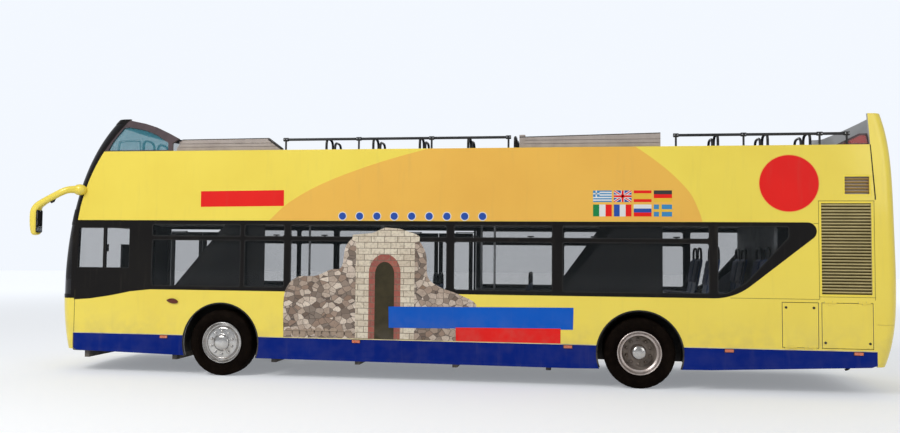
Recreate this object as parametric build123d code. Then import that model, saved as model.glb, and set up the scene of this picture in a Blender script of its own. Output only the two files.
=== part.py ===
from build123d import *
import math
import os

# Open top double decker bus, in millimetres, standing on its wheels.
# +X is forward, +Y is the bus's left, +Z is up. The origin is on the ground, at the
# middle of the length (mirrors included) and of the width.

# Driving sizes of the whole bus
WIDTH = 2550.0
WHEELBASE = 5960.0
FRONT_OVERHANG = 2680.0
REAR_OVERHANG = 3340.0
MIRROR_REACH = 260.0

# Levels above the ground
SKIRT_TOP = 576.0
BELT = 1238.0
BAND_TOP = 2259.0
SILL = 3288.0
SCREEN_TOP = 3770.0
REAR_TOP = 3700.0

# Walls and floors
WALL = 60.0
FLOOR_TOP = 370.0
FLOOR_THICK = 60.0
REAR_FLOOR_TOP = 780.0
UPPER_FLOOR_TOP = 2330.0
UPPER_FLOOR_THICK = 60.0
SEAM = 3.0

# Wheels and axles
TYRE_R = 478.0
RIM_R = 298.0
FRONT_TRACK_HALF = 1112.0
TWIN_OUTER_Y = 1106.0
TWIN_SPACING = 312.0
ARCH_R = 580.0
KINGPIN_Y = 940.0

# Worked out from these
HALF = WIDTH / 2
INNER = HALF - WALL
AXLE_F = (WHEELBASE + REAR_OVERHANG - FRONT_OVERHANG - MIRROR_REACH) / 2
AXLE_R = AXLE_F - WHEELBASE
CEILING = UPPER_FLOOR_TOP - UPPER_FLOOR_THICK
BARREL_R = 8.0
TAIL_REACH = WHEELBASE + REAR_OVERHANG - 2 * BARREL_R
FLOOR_UNDER = FLOOR_TOP - FLOOR_THICK


def at(station):
    """X of a station, counted rearward from the front axle."""
    return AXLE_F - station


def block(x0, x1, y0, y1, z0, z1):
    """A box between two corners, in any order."""
    size = (abs(x1 - x0), abs(y1 - y0), abs(z1 - z0))
    centre = ((x0 + x1) / 2, (y0 + y1) / 2, (z0 + z1) / 2)
    return Pos(*centre) * Box(*size)


def side_plate(outline, y0, y1, radius=0.0):
    """A face outline in stations and heights, pushed across the bus from y0 to y1.

    A point's third value is the radius of its corner, and radius serves the others.
    """
    corners = [(at(point[0]), min(y0, y1), point[1]) for point in outline]
    face = Face(Wire.make_polygon(corners))
    for corner, point in zip(corners, outline):
        bend = point[2] if len(point) > 2 else radius
        if bend > 0:
            nearest = face.vertices().sort_by_distance(corner)[0]
            face = face.fillet_2d(bend, [nearest])
    return extrude(face, amount=abs(y1 - y0), dir=(0, 1, 0))


def rod(start, end, radius):
    """A round bar between two points."""
    line = Vector(*end) - Vector(*start)
    plane = Plane(origin=start, z_dir=line)
    return extrude(plane * Circle(radius), amount=line.length)


def cylinder_y(x, z, radius, y0, y1):
    """A round bar along Y."""
    return rod((x, min(y0, y1), z), (x, max(y0, y1), z), radius)


def cylinder_z(x, y, radius, z0, z1):
    """A round bar along Z."""
    return rod((x, y, z0), (x, y, z1), radius)


def turned(profile, x, y, z, side=1):
    """A closed (radius, offset) profile turned about the Y axis through x, z."""
    points = [(x + r, y + side * offset, z) for r, offset in profile]
    face = Face(Wire.make_polygon(points))
    return revolve(face, Axis((x, 0, z), (0, 1, 0)), 360)


def both(piece):
    """A piece and its mirror image on the right side."""
    return [piece, mirror(piece, about=Plane.XZ)]


def joined(pieces):
    """All pieces fused into one."""
    first, *rest = pieces
    for piece in rest:
        first = first + piece
    return first


def save(node, *pieces):
    """One STEP file for a node."""
    flat = []
    for piece in pieces:
        if isinstance(piece, (list, tuple)):
            flat.extend(piece)
        else:
            flat.append(piece)
    solids = []
    for piece in flat:
        solids.extend(piece.solids())
    shape = solids[0] if len(solids) == 1 else Compound(children=solids)
    export_step(shape, f"parts/{node}.step")


# Front form: plan outlines at some heights, lofted

NOSE = [
    # height, reach of the nose ahead of the front axle
    (340.0, 2590.0),
    (1000.0, FRONT_OVERHANG),
    (2260.0, 2590.0),
    (3080.0, 2340.0),
    (SCREEN_TOP, 1870.0),
]
NOSE_BOW_R = 5000.0
NOSE_CORNER_R = 200.0
NOSE_BACK = 900.0

TAIL = [
    # height, reach of the tail behind the front axle
    (380.0, TAIL_REACH - 150),
    (900.0, TAIL_REACH - 22),
    (1755.0, TAIL_REACH),
    (2760.0, TAIL_REACH - 26),
    (REAR_TOP, TAIL_REACH - 170),
]
TAIL_BOW_R = 20000.0
TAIL_CORNER_R = 150.0
TAIL_BACK = TAIL_REACH - 584
TAIL_START = TAIL_REACH - 312
TAIL_LEAN_FOOT = 2600.0
TAIL_START_TOP = TAIL_REACH - 394


def plan_face(reach, back, height, inset, bow_r, corner_r):
    """Plan outline of an end of the bus: two sides, two corners and a bowed front."""
    half = HALF - inset
    r = corner_r - inset
    bow = bow_r - inset
    tip = reach - inset
    middle = tip - bow
    corner = middle + math.sqrt((bow - r) ** 2 - (half - r) ** 2)
    lean = math.atan2(half - r, corner - middle)
    end = (middle + bow * math.cos(lean), bow * math.sin(lean))
    part_way = (corner + r * math.cos(math.radians(90) / 2 + lean / 2),
                half - r + r * math.sin(math.radians(90) / 2 + lean / 2))
    z = height
    left = ThreePointArc((corner, half, z), (*part_way, z), (*end, z))
    bow_arc = ThreePointArc((*end, z), (tip, 0, z), (end[0], -end[1], z))
    right = ThreePointArc((end[0], -end[1], z), (part_way[0], -part_way[1], z), (corner, -half, z))
    side_l = Line((back, half, z), (corner, half, z))
    side_r = Line((corner, -half, z), (back, -half, z))
    close = Line((back, -half, z), (back, half, z))
    return Face(Wire([side_l, left, bow_arc, right, side_r, close]))


def nose_form(inset):
    """The lofted front of the bus, drawn inward by an inset."""
    faces = [plan_face(reach, NOSE_BACK, z, inset, NOSE_BOW_R, NOSE_CORNER_R) for z, reach in NOSE]
    return Pos(AXLE_F, 0, 0) * loft(faces)


def tail_form(inset):
    """The lofted rear of the bus, drawn inward by an inset."""
    faces = [plan_face(reach, TAIL_BACK, z, inset, TAIL_BOW_R, TAIL_CORNER_R) for z, reach in TAIL]
    return Pos(AXLE_F, 0, 0) * (Rot(0, 0, 180) * loft(faces))


def end_slab(reach, back, low, high):
    """The end of a flat floor, following the bus's end inside its wall."""
    face = plan_face(reach, back, low, WALL, NOSE_BOW_R, NOSE_CORNER_R)
    return Pos(AXLE_F, 0, 0) * extrude(face, amount=high - low, dir=(0, 0, 1))


# Front edge of the side walls: upright, then an arc above the bend
EDGE_LOW = -2315.0
EDGE_BEND = 1900.0
EDGE_R = 2520.0
FAR_FRONT = -3200.0


def edge_station(height):
    """Station of the side wall's front edge at a height."""
    rise = max(height - EDGE_BEND, 0.0)
    return EDGE_LOW + EDGE_R - math.sqrt(EDGE_R ** 2 - rise ** 2)


def nose_region(low, high, gap=0.0, shift=0.0):
    """Everything ahead of the side wall's front edge between two heights."""
    low = low + gap
    high = high - gap
    y = -HALF - 50
    far = at(FAR_FRONT)

    def point(z):
        return (at(edge_station(z) + shift), y, z)

    edges = []
    if low < EDGE_BEND:
        edges.append(Line(point(low), point(min(high, EDGE_BEND))))
    if high > EDGE_BEND:
        foot = max(low, EDGE_BEND)
        edges.append(ThreePointArc(point(foot), point((foot + high) / 2), point(high)))
    edges.append(Line(point(high), (far, y, high)))
    edges.append(Line((far, y, high), (far, y, low)))
    edges.append(Line((far, y, low), point(low)))
    return extrude(Face(Wire(edges)), amount=WIDTH + 100, dir=(0, 1, 0))


def behind_edge(plate, low, high):
    """A side plate cut back to the side wall's front edge."""
    return plate - nose_region(low - 1, high + 1)


BUMPER_TOP = 950.0
PANEL_TOP = 1090.0
LOWER_GLASS = (1150.0, 2190.0)
UPPER_GLASS = (2420.0, 3710.0)
FRAME_SIDE = 55.0
FRONT_WALL = 45.0


def front_pieces():
    """Bumper, front panel, black windscreen frame and the two windscreens."""
    outer = nose_form(0)
    shell = outer - nose_form(FRONT_WALL)
    bumper = shell & nose_region(340, BUMPER_TOP - SEAM)
    panel = shell & nose_region(BUMPER_TOP - SEAM, PANEL_TOP)
    for y in HEADLAMP_Y:
        bumper = bumper - lamp_bore(y, HEADLAMP_Z, HEADLAMP_R) - lamp_bore(-y, HEADLAMP_Z, HEADLAMP_R)
    frame = shell & nose_region(PANEL_TOP, SCREEN_TOP)
    glass_skin = nose_form(6) - nose_form(18)
    panes = []
    for low, high in (LOWER_GLASS, UPPER_GLASS):
        hole = nose_region(low, high, shift=-FRAME_SIDE)
        frame = frame - hole
        panes.append(glass_skin & nose_region(low, high, gap=0.5, shift=-FRAME_SIDE - 0.5))
    return bumper, panel, frame, panes


REAR_BUMPER_TOP = 930.0
LID_LOW = 950.0
LID_HIGH = 1560.0
LID_HALF = 820.0
LID_GAP = 8.0
LID_AXIS_Z = LID_HIGH - LID_GAP / 2
REAR_WALL = 45.0


def seam_station(height):
    """Station of the side wall's rear edge at a height."""
    if height <= TAIL_LEAN_FOOT:
        return TAIL_START
    share = (height - TAIL_LEAN_FOOT) / (REAR_TOP - TAIL_LEAN_FOOT)
    return TAIL_START + share * (TAIL_START_TOP - TAIL_START)


def tail_slab(low, high):
    """A slice of the space behind the side walls."""
    outline = [(seam_station(low), low)]
    if low < TAIL_LEAN_FOOT < high:
        outline.append((TAIL_START, TAIL_LEAN_FOOT))
    outline += [(seam_station(high), high), (TAIL_REACH + 316, high), (TAIL_REACH + 316, low)]
    return side_plate(outline, -HALF - 50, HALF + 50)


def rear_pieces():
    """Rear wall, rear bumper and engine lid."""
    shell = tail_form(0) - tail_form(REAR_WALL)
    bumper = shell & tail_slab(380, REAR_BUMPER_TOP - SEAM)
    wall = shell & tail_slab(REAR_BUMPER_TOP, REAR_TOP)
    lid_hole = block(at(TAIL_REACH - 184), at(TAIL_REACH + 316), -LID_HALF, LID_HALF, LID_LOW, LID_HIGH)
    lid_room = block(at(TAIL_REACH - 184), at(TAIL_REACH + 316), -LID_HALF + LID_GAP, LID_HALF - LID_GAP,
                     LID_LOW + LID_GAP, LID_HIGH - LID_GAP)
    wall = wall - lid_hole
    lid = shell & lid_room
    x = at(lid_axis_station())
    for y in (-510.0, 510.0):
        for y0 in (y - 90, y + 31):
            wall = wall + rod((x, y0, LID_AXIS_Z), (x, y0 + 59, LID_AXIS_Z), BARREL_R)
            wall = wall + block(x, x + 30, y0, y0 + 59, LID_AXIS_Z + 5, LID_AXIS_Z + 45)
        lid = lid + rod((x, y - 30.7, LID_AXIS_Z), (x, y + 30.7, LID_AXIS_Z), BARREL_R)
        lid = lid + block(x, x + 30, y - 30.7, y + 30.7, LID_AXIS_Z - 45, LID_AXIS_Z - 5)
    return bumper, wall, lid


def lid_axis_station():
    """Station of the engine lid's hinge, just outside the rear wall."""
    return TAIL_REACH + BARREL_R


# Side walls

BAND_FOOT = 1070.0
BAND_DIP = [
    # station, height of the window band's lower edge at the driver's window
    (-2060.0, 1088.0),
    (-1740.0, 1138.0),
    (-1420.0, 1203.0),
    (-1100.0, BELT),
]
BAND_TAIL = [
    # station, height, corner radius of the window band's slanted rear end
    (WHEELBASE + 1231, BELT, 770.0),
    (WHEELBASE + 2500, BAND_TOP, 118.0),
]
BAND = [(FAR_FRONT, BAND_FOOT), (EDGE_LOW, BAND_FOOT)] + BAND_DIP + BAND_TAIL + [(FAR_FRONT, BAND_TOP)]
SKIRT_FOOT = [
    # station, height of the skirt's lower edge
    (EDGE_LOW + SEAM, 410.0),
    (-2295.0, 350.0),
    (-2240.0, 324.0),
    (0.0, 275.0),
    (WHEELBASE - 960, 258.0),
    (WHEELBASE + 940, 285.0),
    (WHEELBASE + 2940, 372.0),
    (TAIL_START, 400.0),
]

FLAP_LOWS = 606.0
FLAP_HIGHS = 1206.0
FLAPS = [
    # name, front station, rear station, hinged at
    ("fuel_flap", WHEELBASE + 1833, WHEELBASE + 2295, "foot"),
    ("filter_flap", WHEELBASE + 2330, WHEELBASE + 2970, "head"),
]
FLAP_GAP = 8.0
FLAP_AXIS_OUT = 6.0
LOUVRE_BIG = (WHEELBASE + 2318, WHEELBASE + 2985, 1292.0, 2534.0)
LOUVRE_SMALL = (WHEELBASE + 2615, WHEELBASE + 2965, 2610.0, 2885.0)

FRONT_DOOR = (-2120.0, -820.0)
MID_DOOR = (2150.0, 3450.0)
DOORS = [FRONT_DOOR, MID_DOOR]
DOOR_FOOT = FLOOR_TOP
DOOR_HEAD = 2205.0


def wheel_cut(station):
    """The round opening of a wheel arch, open downwards."""
    x = at(station)
    hole = cylinder_y(x, TYRE_R, ARCH_R, -HALF - 60, HALF + 60)
    return hole + block(x - ARCH_R + 45, x + ARCH_R - 45, -HALF - 60, HALF + 60, 0, TYRE_R - 200)


def door_cuts():
    """The openings of the right side's two doorways."""
    return [block(at(a), at(b), -HALF - 20, -INNER + 20, DOOR_FOOT - FLOOR_THICK, DOOR_HEAD)
            for a, b in DOORS]


def louvre_cut(hole, gap=0.0):
    """The opening of a louvre in the left side."""
    a, b, low, high = hole
    return block(at(a + gap), at(b - gap), INNER - 20, HALF + 20, low + gap, high - gap)


def side_panels():
    """Yellow lower side panels, one on each side."""
    foot = SKIRT_TOP + SEAM
    outline = [(EDGE_LOW, foot), (EDGE_LOW, BAND_TOP), (TAIL_START, BAND_TOP), (TAIL_START, foot)]
    left = side_plate(outline, INNER, HALF) - side_plate(BAND, INNER - 20, HALF + 20)
    for axle in (0.0, WHEELBASE):
        left = left - wheel_cut(axle)
    right = mirror(left, about=Plane.XZ)
    for _, a, b, where in FLAPS:
        left = left - block(at(a), at(b), INNER - 20, HALF + 20, FLAP_LOWS, FLAP_HIGHS)
        left = joined([left] + flap_barrels(a, b, where, True))
    left = left - louvre_cut(LOUVRE_BIG)
    for cut in door_cuts():
        right = right - cut
    return left, right


def flap_axis_z(where):
    """Height of a flap's hinge line, in the gap round it."""
    if where == "foot":
        return FLAP_LOWS + FLAP_GAP / 2
    return FLAP_HIGHS - FLAP_GAP / 2


def flap_barrels(a, b, where, fixed):
    """Hinge barrels of a flap: two pairs on the panel, or the middle ones on the flap."""
    z = flap_axis_z(where)
    y = HALF + FLAP_AXIS_OUT
    away = -1 if where == "foot" else 1
    pieces = []
    for s in (a + 110.0, b - 110.0):
        x = at(s)
        spans = [(x - 75, x - 26), (x + 26, x + 75)] if fixed else [(x - 25.7, x + 25.7)]
        for x0, x1 in spans:
            barrel = rod((x0, y, z), (x1, y, z), FLAP_AXIS_OUT)
            reach = away if fixed else -away
            leaf = block(x0, x1, HALF - 10, y, z + reach * 2, z + reach * 26)
            pieces.append(barrel + leaf)
    return pieces


def flaps():
    """The service flaps in the left side, by name."""
    plates = {}
    for name, a, b, where in FLAPS:
        plate = block(at(a + FLAP_GAP), at(b - FLAP_GAP), HALF - 40, HALF,
                      FLAP_LOWS + FLAP_GAP, FLAP_HIGHS - FLAP_GAP)
        plates[name] = joined([plate] + flap_barrels(a, b, where, False))
    return plates


def skirts():
    """Blue skirts below the side panels."""
    outline = [(EDGE_LOW + SEAM, SKIRT_TOP)] + SKIRT_FOOT + [(TAIL_START, SKIRT_TOP)]
    left = side_plate(outline, INNER, HALF)
    for axle in (0.0, WHEELBASE):
        left = left - wheel_cut(axle)
    right = mirror(left, about=Plane.XZ)
    for cut in door_cuts():
        right = right - cut
    return left, right


# Windows of a side: outlines in stations and heights
GLASS_LOW = 1292.0
GLASS_HIGH = 2208.0
TRANSOM_LOW = 1978.0
TRANSOM_HIGH = 2022.0
PANES = [
    # front station, rear station, has a transom
    (-1100.0, 285.0, True),
    (335.0, 950.0, True),
    (1030.0, 3320.0, True),
    (3410.0, WHEELBASE - 1170, True),
    (WHEELBASE - 1040, WHEELBASE + 920, True),
]
DRIVER_PANES = [
    (-2280.0, -1862.0),
    (-1842.0, -1447.0),
]
DRIVER_LEAN = 16.0
DRIVER_LOW = 1545.0
DRIVER_HIGH = 2150.0
TAIL_PANE = [
    (WHEELBASE + 1015, GLASS_HIGH),
    (WHEELBASE + 1940, GLASS_HIGH),
    (WHEELBASE + 1940, 2055.0, 80.0),
    (WHEELBASE + 1390, 1440.0, 350.0),
    (WHEELBASE + 1130, GLASS_LOW, 250.0),
    (WHEELBASE + 1015, GLASS_LOW),
]
PANE_GAP = 0.5
PANE_R = 40.0
DRIVER_PANE_R = 8.0


def pane_outlines(right):
    """Every pane of a side as an outline."""
    shapes = []
    for a, b in DRIVER_PANES:
        if not right:
            lean = DRIVER_LEAN if a < EDGE_LOW + 100 else 0.0
            shapes.append([(a, DRIVER_LOW), (b, DRIVER_LOW), (b, DRIVER_HIGH), (a + lean, DRIVER_HIGH)])
    for a, b, split in PANES:
        spans = [(a, b)]
        if right:
            spans = clear_of_doors(a, b)
        for s0, s1 in spans:
            shapes.append([(s0, GLASS_LOW), (s1, GLASS_LOW), (s1, TRANSOM_LOW), (s0, TRANSOM_LOW)])
            shapes.append([(s0, TRANSOM_HIGH), (s1, TRANSOM_HIGH), (s1, GLASS_HIGH), (s0, GLASS_HIGH)])
    shapes.append(list(TAIL_PANE))
    return shapes


def clear_of_doors(a, b):
    """What is left of a window span beside the doorways."""
    margin = 70.0
    spans = [(a, b)]
    for d0, d1 in DOORS:
        kept = []
        for s0, s1 in spans:
            if d1 + margin <= s0 or d0 - margin >= s1:
                kept.append((s0, s1))
                continue
            if d0 - margin - s0 > 150:
                kept.append((s0, d0 - margin))
            if s1 - d1 - margin > 150:
                kept.append((d1 + margin, s1))
        spans = kept
    return spans


def inset(outline, gap):
    """A convex outline with every edge moved inward by a gap."""
    bare = [point[:2] for point in outline]
    area = sum(s0 * z1 - s1 * z0 for (s0, z0), (s1, z1) in zip(bare, bare[1:] + bare[:1]))
    turn = 1 if area > 0 else -1
    edges = []
    for (s0, z0), (s1, z1) in zip(bare, bare[1:] + bare[:1]):
        length = math.hypot(s1 - s0, z1 - z0)
        ds, dz = (s1 - s0) / length, (z1 - z0) / length
        edges.append((s0 - turn * dz * gap, z0 + turn * ds * gap, ds, dz))
    corners = []
    for point, (s0, z0, a0, b0), (s1, z1, a1, b1) in zip(outline, edges[-1:] + edges[:-1], edges):
        along = ((s1 - s0) * b1 - (z1 - z0) * a1) / (a0 * b1 - b0 * a1)
        bend = [radius - gap for radius in point[2:]]
        corners.append((s0 + along * a0, z0 + along * b0, *bend))
    return corners


def window_frames():
    """Black pillars and rails with their panes, one frame on each side."""
    frames = []
    panes = []
    for side in (1, -1):
        right = side < 0
        frame = behind_edge(side_plate(BAND, side * INNER, side * HALF), BAND_FOOT, BAND_TOP)
        if right:
            for cut in door_cuts():
                frame = frame - cut
        for shape in pane_outlines(right):
            driver = shape[0][0] < EDGE_LOW + 900
            r = DRIVER_PANE_R if driver else PANE_R
            frame = frame - side_plate(shape, side * (INNER - 20), side * (HALF + 20), r)
            pane = side_plate(inset(shape, PANE_GAP), side * (HALF - 16), side * (HALF - 6), r - PANE_GAP)
            panes.append(pane)
        frames.append(frame)
    return frames, panes


def upper_panels():
    """Yellow upper side panels with the sill along their top."""
    outline = [(FAR_FRONT, BAND_TOP), (FAR_FRONT, SILL), (seam_station(SILL), SILL),
               (TAIL_START, TAIL_LEAN_FOOT), (TAIL_START, BAND_TOP)]
    left = behind_edge(side_plate(outline, INNER, HALF), BAND_TOP, SILL)
    right = mirror(left, about=Plane.XZ)
    left = left - louvre_cut(LOUVRE_BIG) - louvre_cut(LOUVRE_SMALL)
    return left, right


SLAT_PITCH = 41.0
SLAT_THICK = 5.0
SLAT_DEPTH = 34.0
LOUVRE_RIM = 22.0


def louvre(hole):
    """A framed grille of sloping slats in the left side."""
    a, b, low, high = hole
    gap = 0.5
    outer = block(at(a + gap), at(b - gap), HALF - 45, HALF - 2, low + gap, high - gap)
    inner = block(at(a + LOUVRE_RIM), at(b - LOUVRE_RIM), HALF - 60, HALF + 20,
                  low + LOUVRE_RIM, high - LOUVRE_RIM)
    frame = outer - inner
    length = (b - a) - 2 * LOUVRE_RIM + 4
    count = int((high - low - 2 * LOUVRE_RIM) / SLAT_PITCH)
    first = low + LOUVRE_RIM + ((high - low - 2 * LOUVRE_RIM) - (count - 1) * SLAT_PITCH) / 2
    slats = []
    for i in range(count):
        slat = Rot(35, 0, 0) * Box(length, SLAT_DEPTH, SLAT_THICK)
        slats.append(Pos(at((a + b) / 2), HALF - 24, first + i * SLAT_PITCH) * slat)
    return joined([frame] + slats)


# Floors and stairs

STAIRS = [
    # foot station, head station, of the flight's front and top edges
    (-1310.0, 320.0),
    (WHEELBASE - 1625, WHEELBASE + 5),
]
STEP_COUNT = 8
TREAD_THICK = 30.0
WELL_FRONTS = [-1110.0, WHEELBASE - 1560]
STAIR_WIDTH = 640.0
WELL_INNER_Y = INNER - 20.0 - STAIR_WIDTH - 20.0
WHEELHOUSE_TOP = 1120.0
WHEELHOUSE_HALF = 650.0
WHEELHOUSE_INNER_Y = 590.0
SHEET = 20.0
REAR_STEP = WHEELBASE - 810
BULKHEAD = WHEELBASE + 1760
STAIR_SIDES = [
    # rear end of the panel beside a flight, and the line of floor and wheelhouse that it stands on
    (620.0, [(-WHEELHOUSE_HALF, WHEELHOUSE_TOP), (-WHEELHOUSE_HALF, FLOOR_TOP)]),
    (WHEELBASE + 310, [
        (WHEELBASE - WHEELHOUSE_HALF, WHEELHOUSE_TOP),
        (WHEELBASE - WHEELHOUSE_HALF, REAR_FLOOR_TOP),
        (REAR_STEP, REAR_FLOOR_TOP),
        (REAR_STEP, FLOOR_TOP),
    ]),
]
UPPER_FRONT_REACH = 2540.0
UPPER_REAR_REACH = TAIL_REACH - 20
LANDING = 260.0


def wheelhouse(station, side):
    """The outside and the hollow of a sheet box over a wheel."""
    x = at(station)
    outer = block(x - WHEELHOUSE_HALF, x + WHEELHOUSE_HALF, side * WHEELHOUSE_INNER_Y, side * INNER,
                  FLOOR_UNDER, WHEELHOUSE_TOP)
    hollow = block(x - WHEELHOUSE_HALF + SHEET, x + WHEELHOUSE_HALF - SHEET,
                   side * (WHEELHOUSE_INNER_Y + SHEET), side * (INNER + 10),
                   FLOOR_UNDER - 10, WHEELHOUSE_TOP - SHEET)
    return outer, hollow


def wheelhouses():
    """Sheet boxes over the wheels, open to the arches and to the ground."""
    boxes = []
    for axle in (0.0, WHEELBASE):
        for side in (1, -1):
            outer, hollow = wheelhouse(axle, side)
            slot = block(AXLE_R - 130, AXLE_R + 130, side * (WHEELHOUSE_INNER_Y - 5),
                         side * (WHEELHOUSE_INNER_Y + SHEET + 5), FLOOR_UNDER - 10, 660)
            boxes.append(outer - hollow - slot)
    return boxes


def lower_floor():
    """The stepped lower deck floor with its thresholds and engine bulkhead."""
    front = end_slab(NOSE[0][1], NOSE_BACK, FLOOR_UNDER, FLOOR_TOP)
    low = block(at(-NOSE_BACK), at(REAR_STEP), -INNER, INNER, FLOOR_UNDER, FLOOR_TOP)
    riser = block(at(REAR_STEP), at(REAR_STEP + FLOOR_THICK), -INNER, INNER, FLOOR_UNDER, REAR_FLOOR_TOP)
    high = block(at(REAR_STEP), at(BULKHEAD), -INNER, INNER, REAR_FLOOR_TOP - FLOOR_THICK, REAR_FLOOR_TOP)
    bulkhead = block(at(BULKHEAD), at(BULKHEAD + 40), -INNER, INNER, REAR_FLOOR_TOP - FLOOR_THICK, CEILING)
    floor = joined([front, low, riser, high, bulkhead])
    for a, b in DOORS:
        floor = floor + block(at(a), at(b), -INNER + 5, -HALF + 4, FLOOR_UNDER, FLOOR_TOP)
    for axle in (0.0, WHEELBASE):
        for side in (1, -1):
            outer, _ = wheelhouse(axle, side)
            floor = floor - outer
    return floor


def well_end(flight):
    """Station of a stairwell's rear end: the last riser of its flight."""
    foot, head = flight
    return foot + (STEP_COUNT - 1) * (head - foot) / STEP_COUNT


def upper_floor():
    """The upper deck floor with its two stairwell openings."""
    front = end_slab(UPPER_FRONT_REACH, NOSE_BACK, CEILING, UPPER_FLOOR_TOP)
    middle = block(at(-NOSE_BACK), at(TAIL_BACK), -INNER, INNER, CEILING, UPPER_FLOOR_TOP)
    face = plan_face(UPPER_REAR_REACH, TAIL_BACK, CEILING, WALL, TAIL_BOW_R, TAIL_CORNER_R)
    rear = extrude(face, amount=UPPER_FLOOR_THICK, dir=(0, 0, 1))
    floor = joined([front, middle, Pos(AXLE_F, 0, 0) * (Rot(0, 0, 180) * rear)])
    for a, flight in zip(WELL_FRONTS, STAIRS):
        floor = floor - block(at(a), at(well_end(flight)), WELL_INNER_Y, INNER - 20,
                              CEILING - 10, UPPER_FLOOR_TOP + 10)
    return floor


def stair(flight, landing, panel):
    """A straight flight of open box steps between a stringer plate and a closed side panel."""
    foot, head = flight
    rise = (UPPER_FLOOR_TOP - FLOOR_TOP) / STEP_COUNT
    run = (head - foot) / STEP_COUNT
    y0 = WELL_INNER_Y + 20
    y1 = INNER - 20
    start = foot - landing
    outline = [(start, FLOOR_TOP), (start, FLOOR_TOP + rise), (foot + run, FLOOR_TOP + rise)]
    for i in range(1, STEP_COUNT - 1):
        top = FLOOR_TOP + (i + 1) * rise
        outline.append((foot + i * run, top))
        outline.append((foot + (i + 1) * run, top))
    last = well_end(flight)
    outline.append((last, CEILING))
    outline.append((last + TREAD_THICK, CEILING))
    for i in range(STEP_COUNT - 1, 1, -1):
        top = FLOOR_TOP + i * rise
        outline.append((foot + i * run + TREAD_THICK, top - TREAD_THICK))
        outline.append((foot + (i - 1) * run + TREAD_THICK, top - TREAD_THICK))
    outline.append((foot + run + TREAD_THICK, FLOOR_TOP + rise - TREAD_THICK))
    outline.append((start + TREAD_THICK, FLOOR_TOP + rise - TREAD_THICK))
    outline.append((start + TREAD_THICK, FLOOR_TOP))
    steps = side_plate(outline, y0, y1)
    low = FLOOR_TOP + 20
    reach, stand = panel
    nose_end = foot + run * (CEILING - FLOOR_TOP - rise) / rise
    side = [(foot - 20, FLOOR_TOP), (foot - 20, FLOOR_TOP + rise), (nose_end, CEILING), (reach, CEILING),
            (reach, WHEELHOUSE_TOP)] + stand
    boards = [side_plate(side, y1 - 2, y1 + 18)]
    side = [(foot - 40, low), (foot - 40, low + 220), (last - 260, CEILING), (last + 60, CEILING),
            (foot + 130, low)]
    if landing > 0:
        side = [(foot + run, low + rise), (foot + run, low + 220 + run), (last - 260, CEILING),
                (last + 60, CEILING), (foot + 100 + run, low + rise)]
    boards.append(side_plate(side, y0 - 18, y0 + 2))
    return joined([steps] + boards)


GUARD_THICK = 32.0
GUARD_GROOVES = [3345.0, 3395.0]
GUARD_LOW = 3250.0
GUARDS = [
    # station, height of the outer panel's outline above the upper floor
    [(-775.0, UPPER_FLOOR_TOP), (-775.0, 3330.0), (-690.0, 3455.0), (660.0, 3464.0),
     (870.0, 3310.0), (870.0, UPPER_FLOOR_TOP)],
    [
        (WHEELBASE - 1640, UPPER_FLOOR_TOP),
        (WHEELBASE - 1640, 3439.0),
        (WHEELBASE + 286, 3476.0),
        (WHEELBASE + 286, UPPER_FLOOR_TOP),
    ],
]


def stairwell_boxes():
    """Guards round the stairwells on the upper deck, open at the head of the stairs."""
    boxes = []
    for a, flight, outline in zip(WELL_FRONTS, STAIRS, GUARDS):
        y1 = INNER - 3
        y0 = y1 - GUARD_THICK
        b = well_end(flight)
        front = outline[0][0]
        outer = side_plate(outline, y0, y1)
        for z in GUARD_GROOVES:
            outer = outer - block(at(front - 10), at(outline[-1][0] + 10), y1 - 8, y1 + 5, z, z + 10)
        high = outline[2][1] if outline[1][1] < outline[2][1] else outline[1][1]
        inner_y = WELL_INNER_Y - GUARD_THICK
        if a < front:
            low = GUARD_LOW
            high_start = front
        else:
            low = high
            high_start = a - GUARD_THICK
        across = block(at(a - GUARD_THICK), at(a), inner_y, INNER - 3, UPPER_FLOOR_TOP, low)
        inner = block(at(a - GUARD_THICK), at(b + GUARD_THICK), inner_y, WELL_INNER_Y,
                      UPPER_FLOOR_TOP, low)
        raised = block(at(high_start), at(b + GUARD_THICK), inner_y, WELL_INNER_Y,
                       UPPER_FLOOR_TOP, high)
        if a < front:
            boxes.append(joined([across, inner, raised]))
            boxes.append(outer)
        else:
            tie = block(at(front), at(a), y0, y1, UPPER_FLOOR_TOP, high)
            boxes.append(joined([across, inner, raised, tie, outer]))
    return boxes


# Seats

SEAT_WIDTH = 430.0
SEAT_CUSHION = [
    # reach from the seat's back foot, height: side outline of the cushion's shell
    (-395.0, 396.0),
    (-425.0, 420.0),
    (-415.0, 446.0),
    (-370.0, 455.0),
    (-130.0, 430.0),
    (-45.0, 434.0),
    (5.0, 480.0),
    (52.0, 470.0),
    (12.0, 400.0),
    (-30.0, 372.0),
]
SEAT_BACK = [
    # reach from the seat's back foot, height: side outline of the backrest's shell
    (5.0, 480.0),
    (56.0, 760.0),
    (92.0, 955.0),
    (112.0, 985.0),
    (140.0, 972.0),
    (122.0, 860.0),
    (52.0, 470.0),
]


HANDLE_R = 12.0
HANDLE_HALF = 165.0
HANDLE_TOP = 1145.0
HANDLE_FOOT = 900.0


def handle(x, y, floor):
    """An upright loop over a backrest."""
    low = floor + HANDLE_FOOT
    high = floor + HANDLE_TOP
    pieces = [rod((x, y - HANDLE_HALF, high), (x, y + HANDLE_HALF, high), HANDLE_R)]
    for yy in (y - HANDLE_HALF, y + HANDLE_HALF):
        pieces.append(rod((x, yy, low), (x, yy, high), HANDLE_R))
        pieces.append(Pos(x, yy, high) * Sphere(HANDLE_R))
    return joined(pieces)


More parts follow.
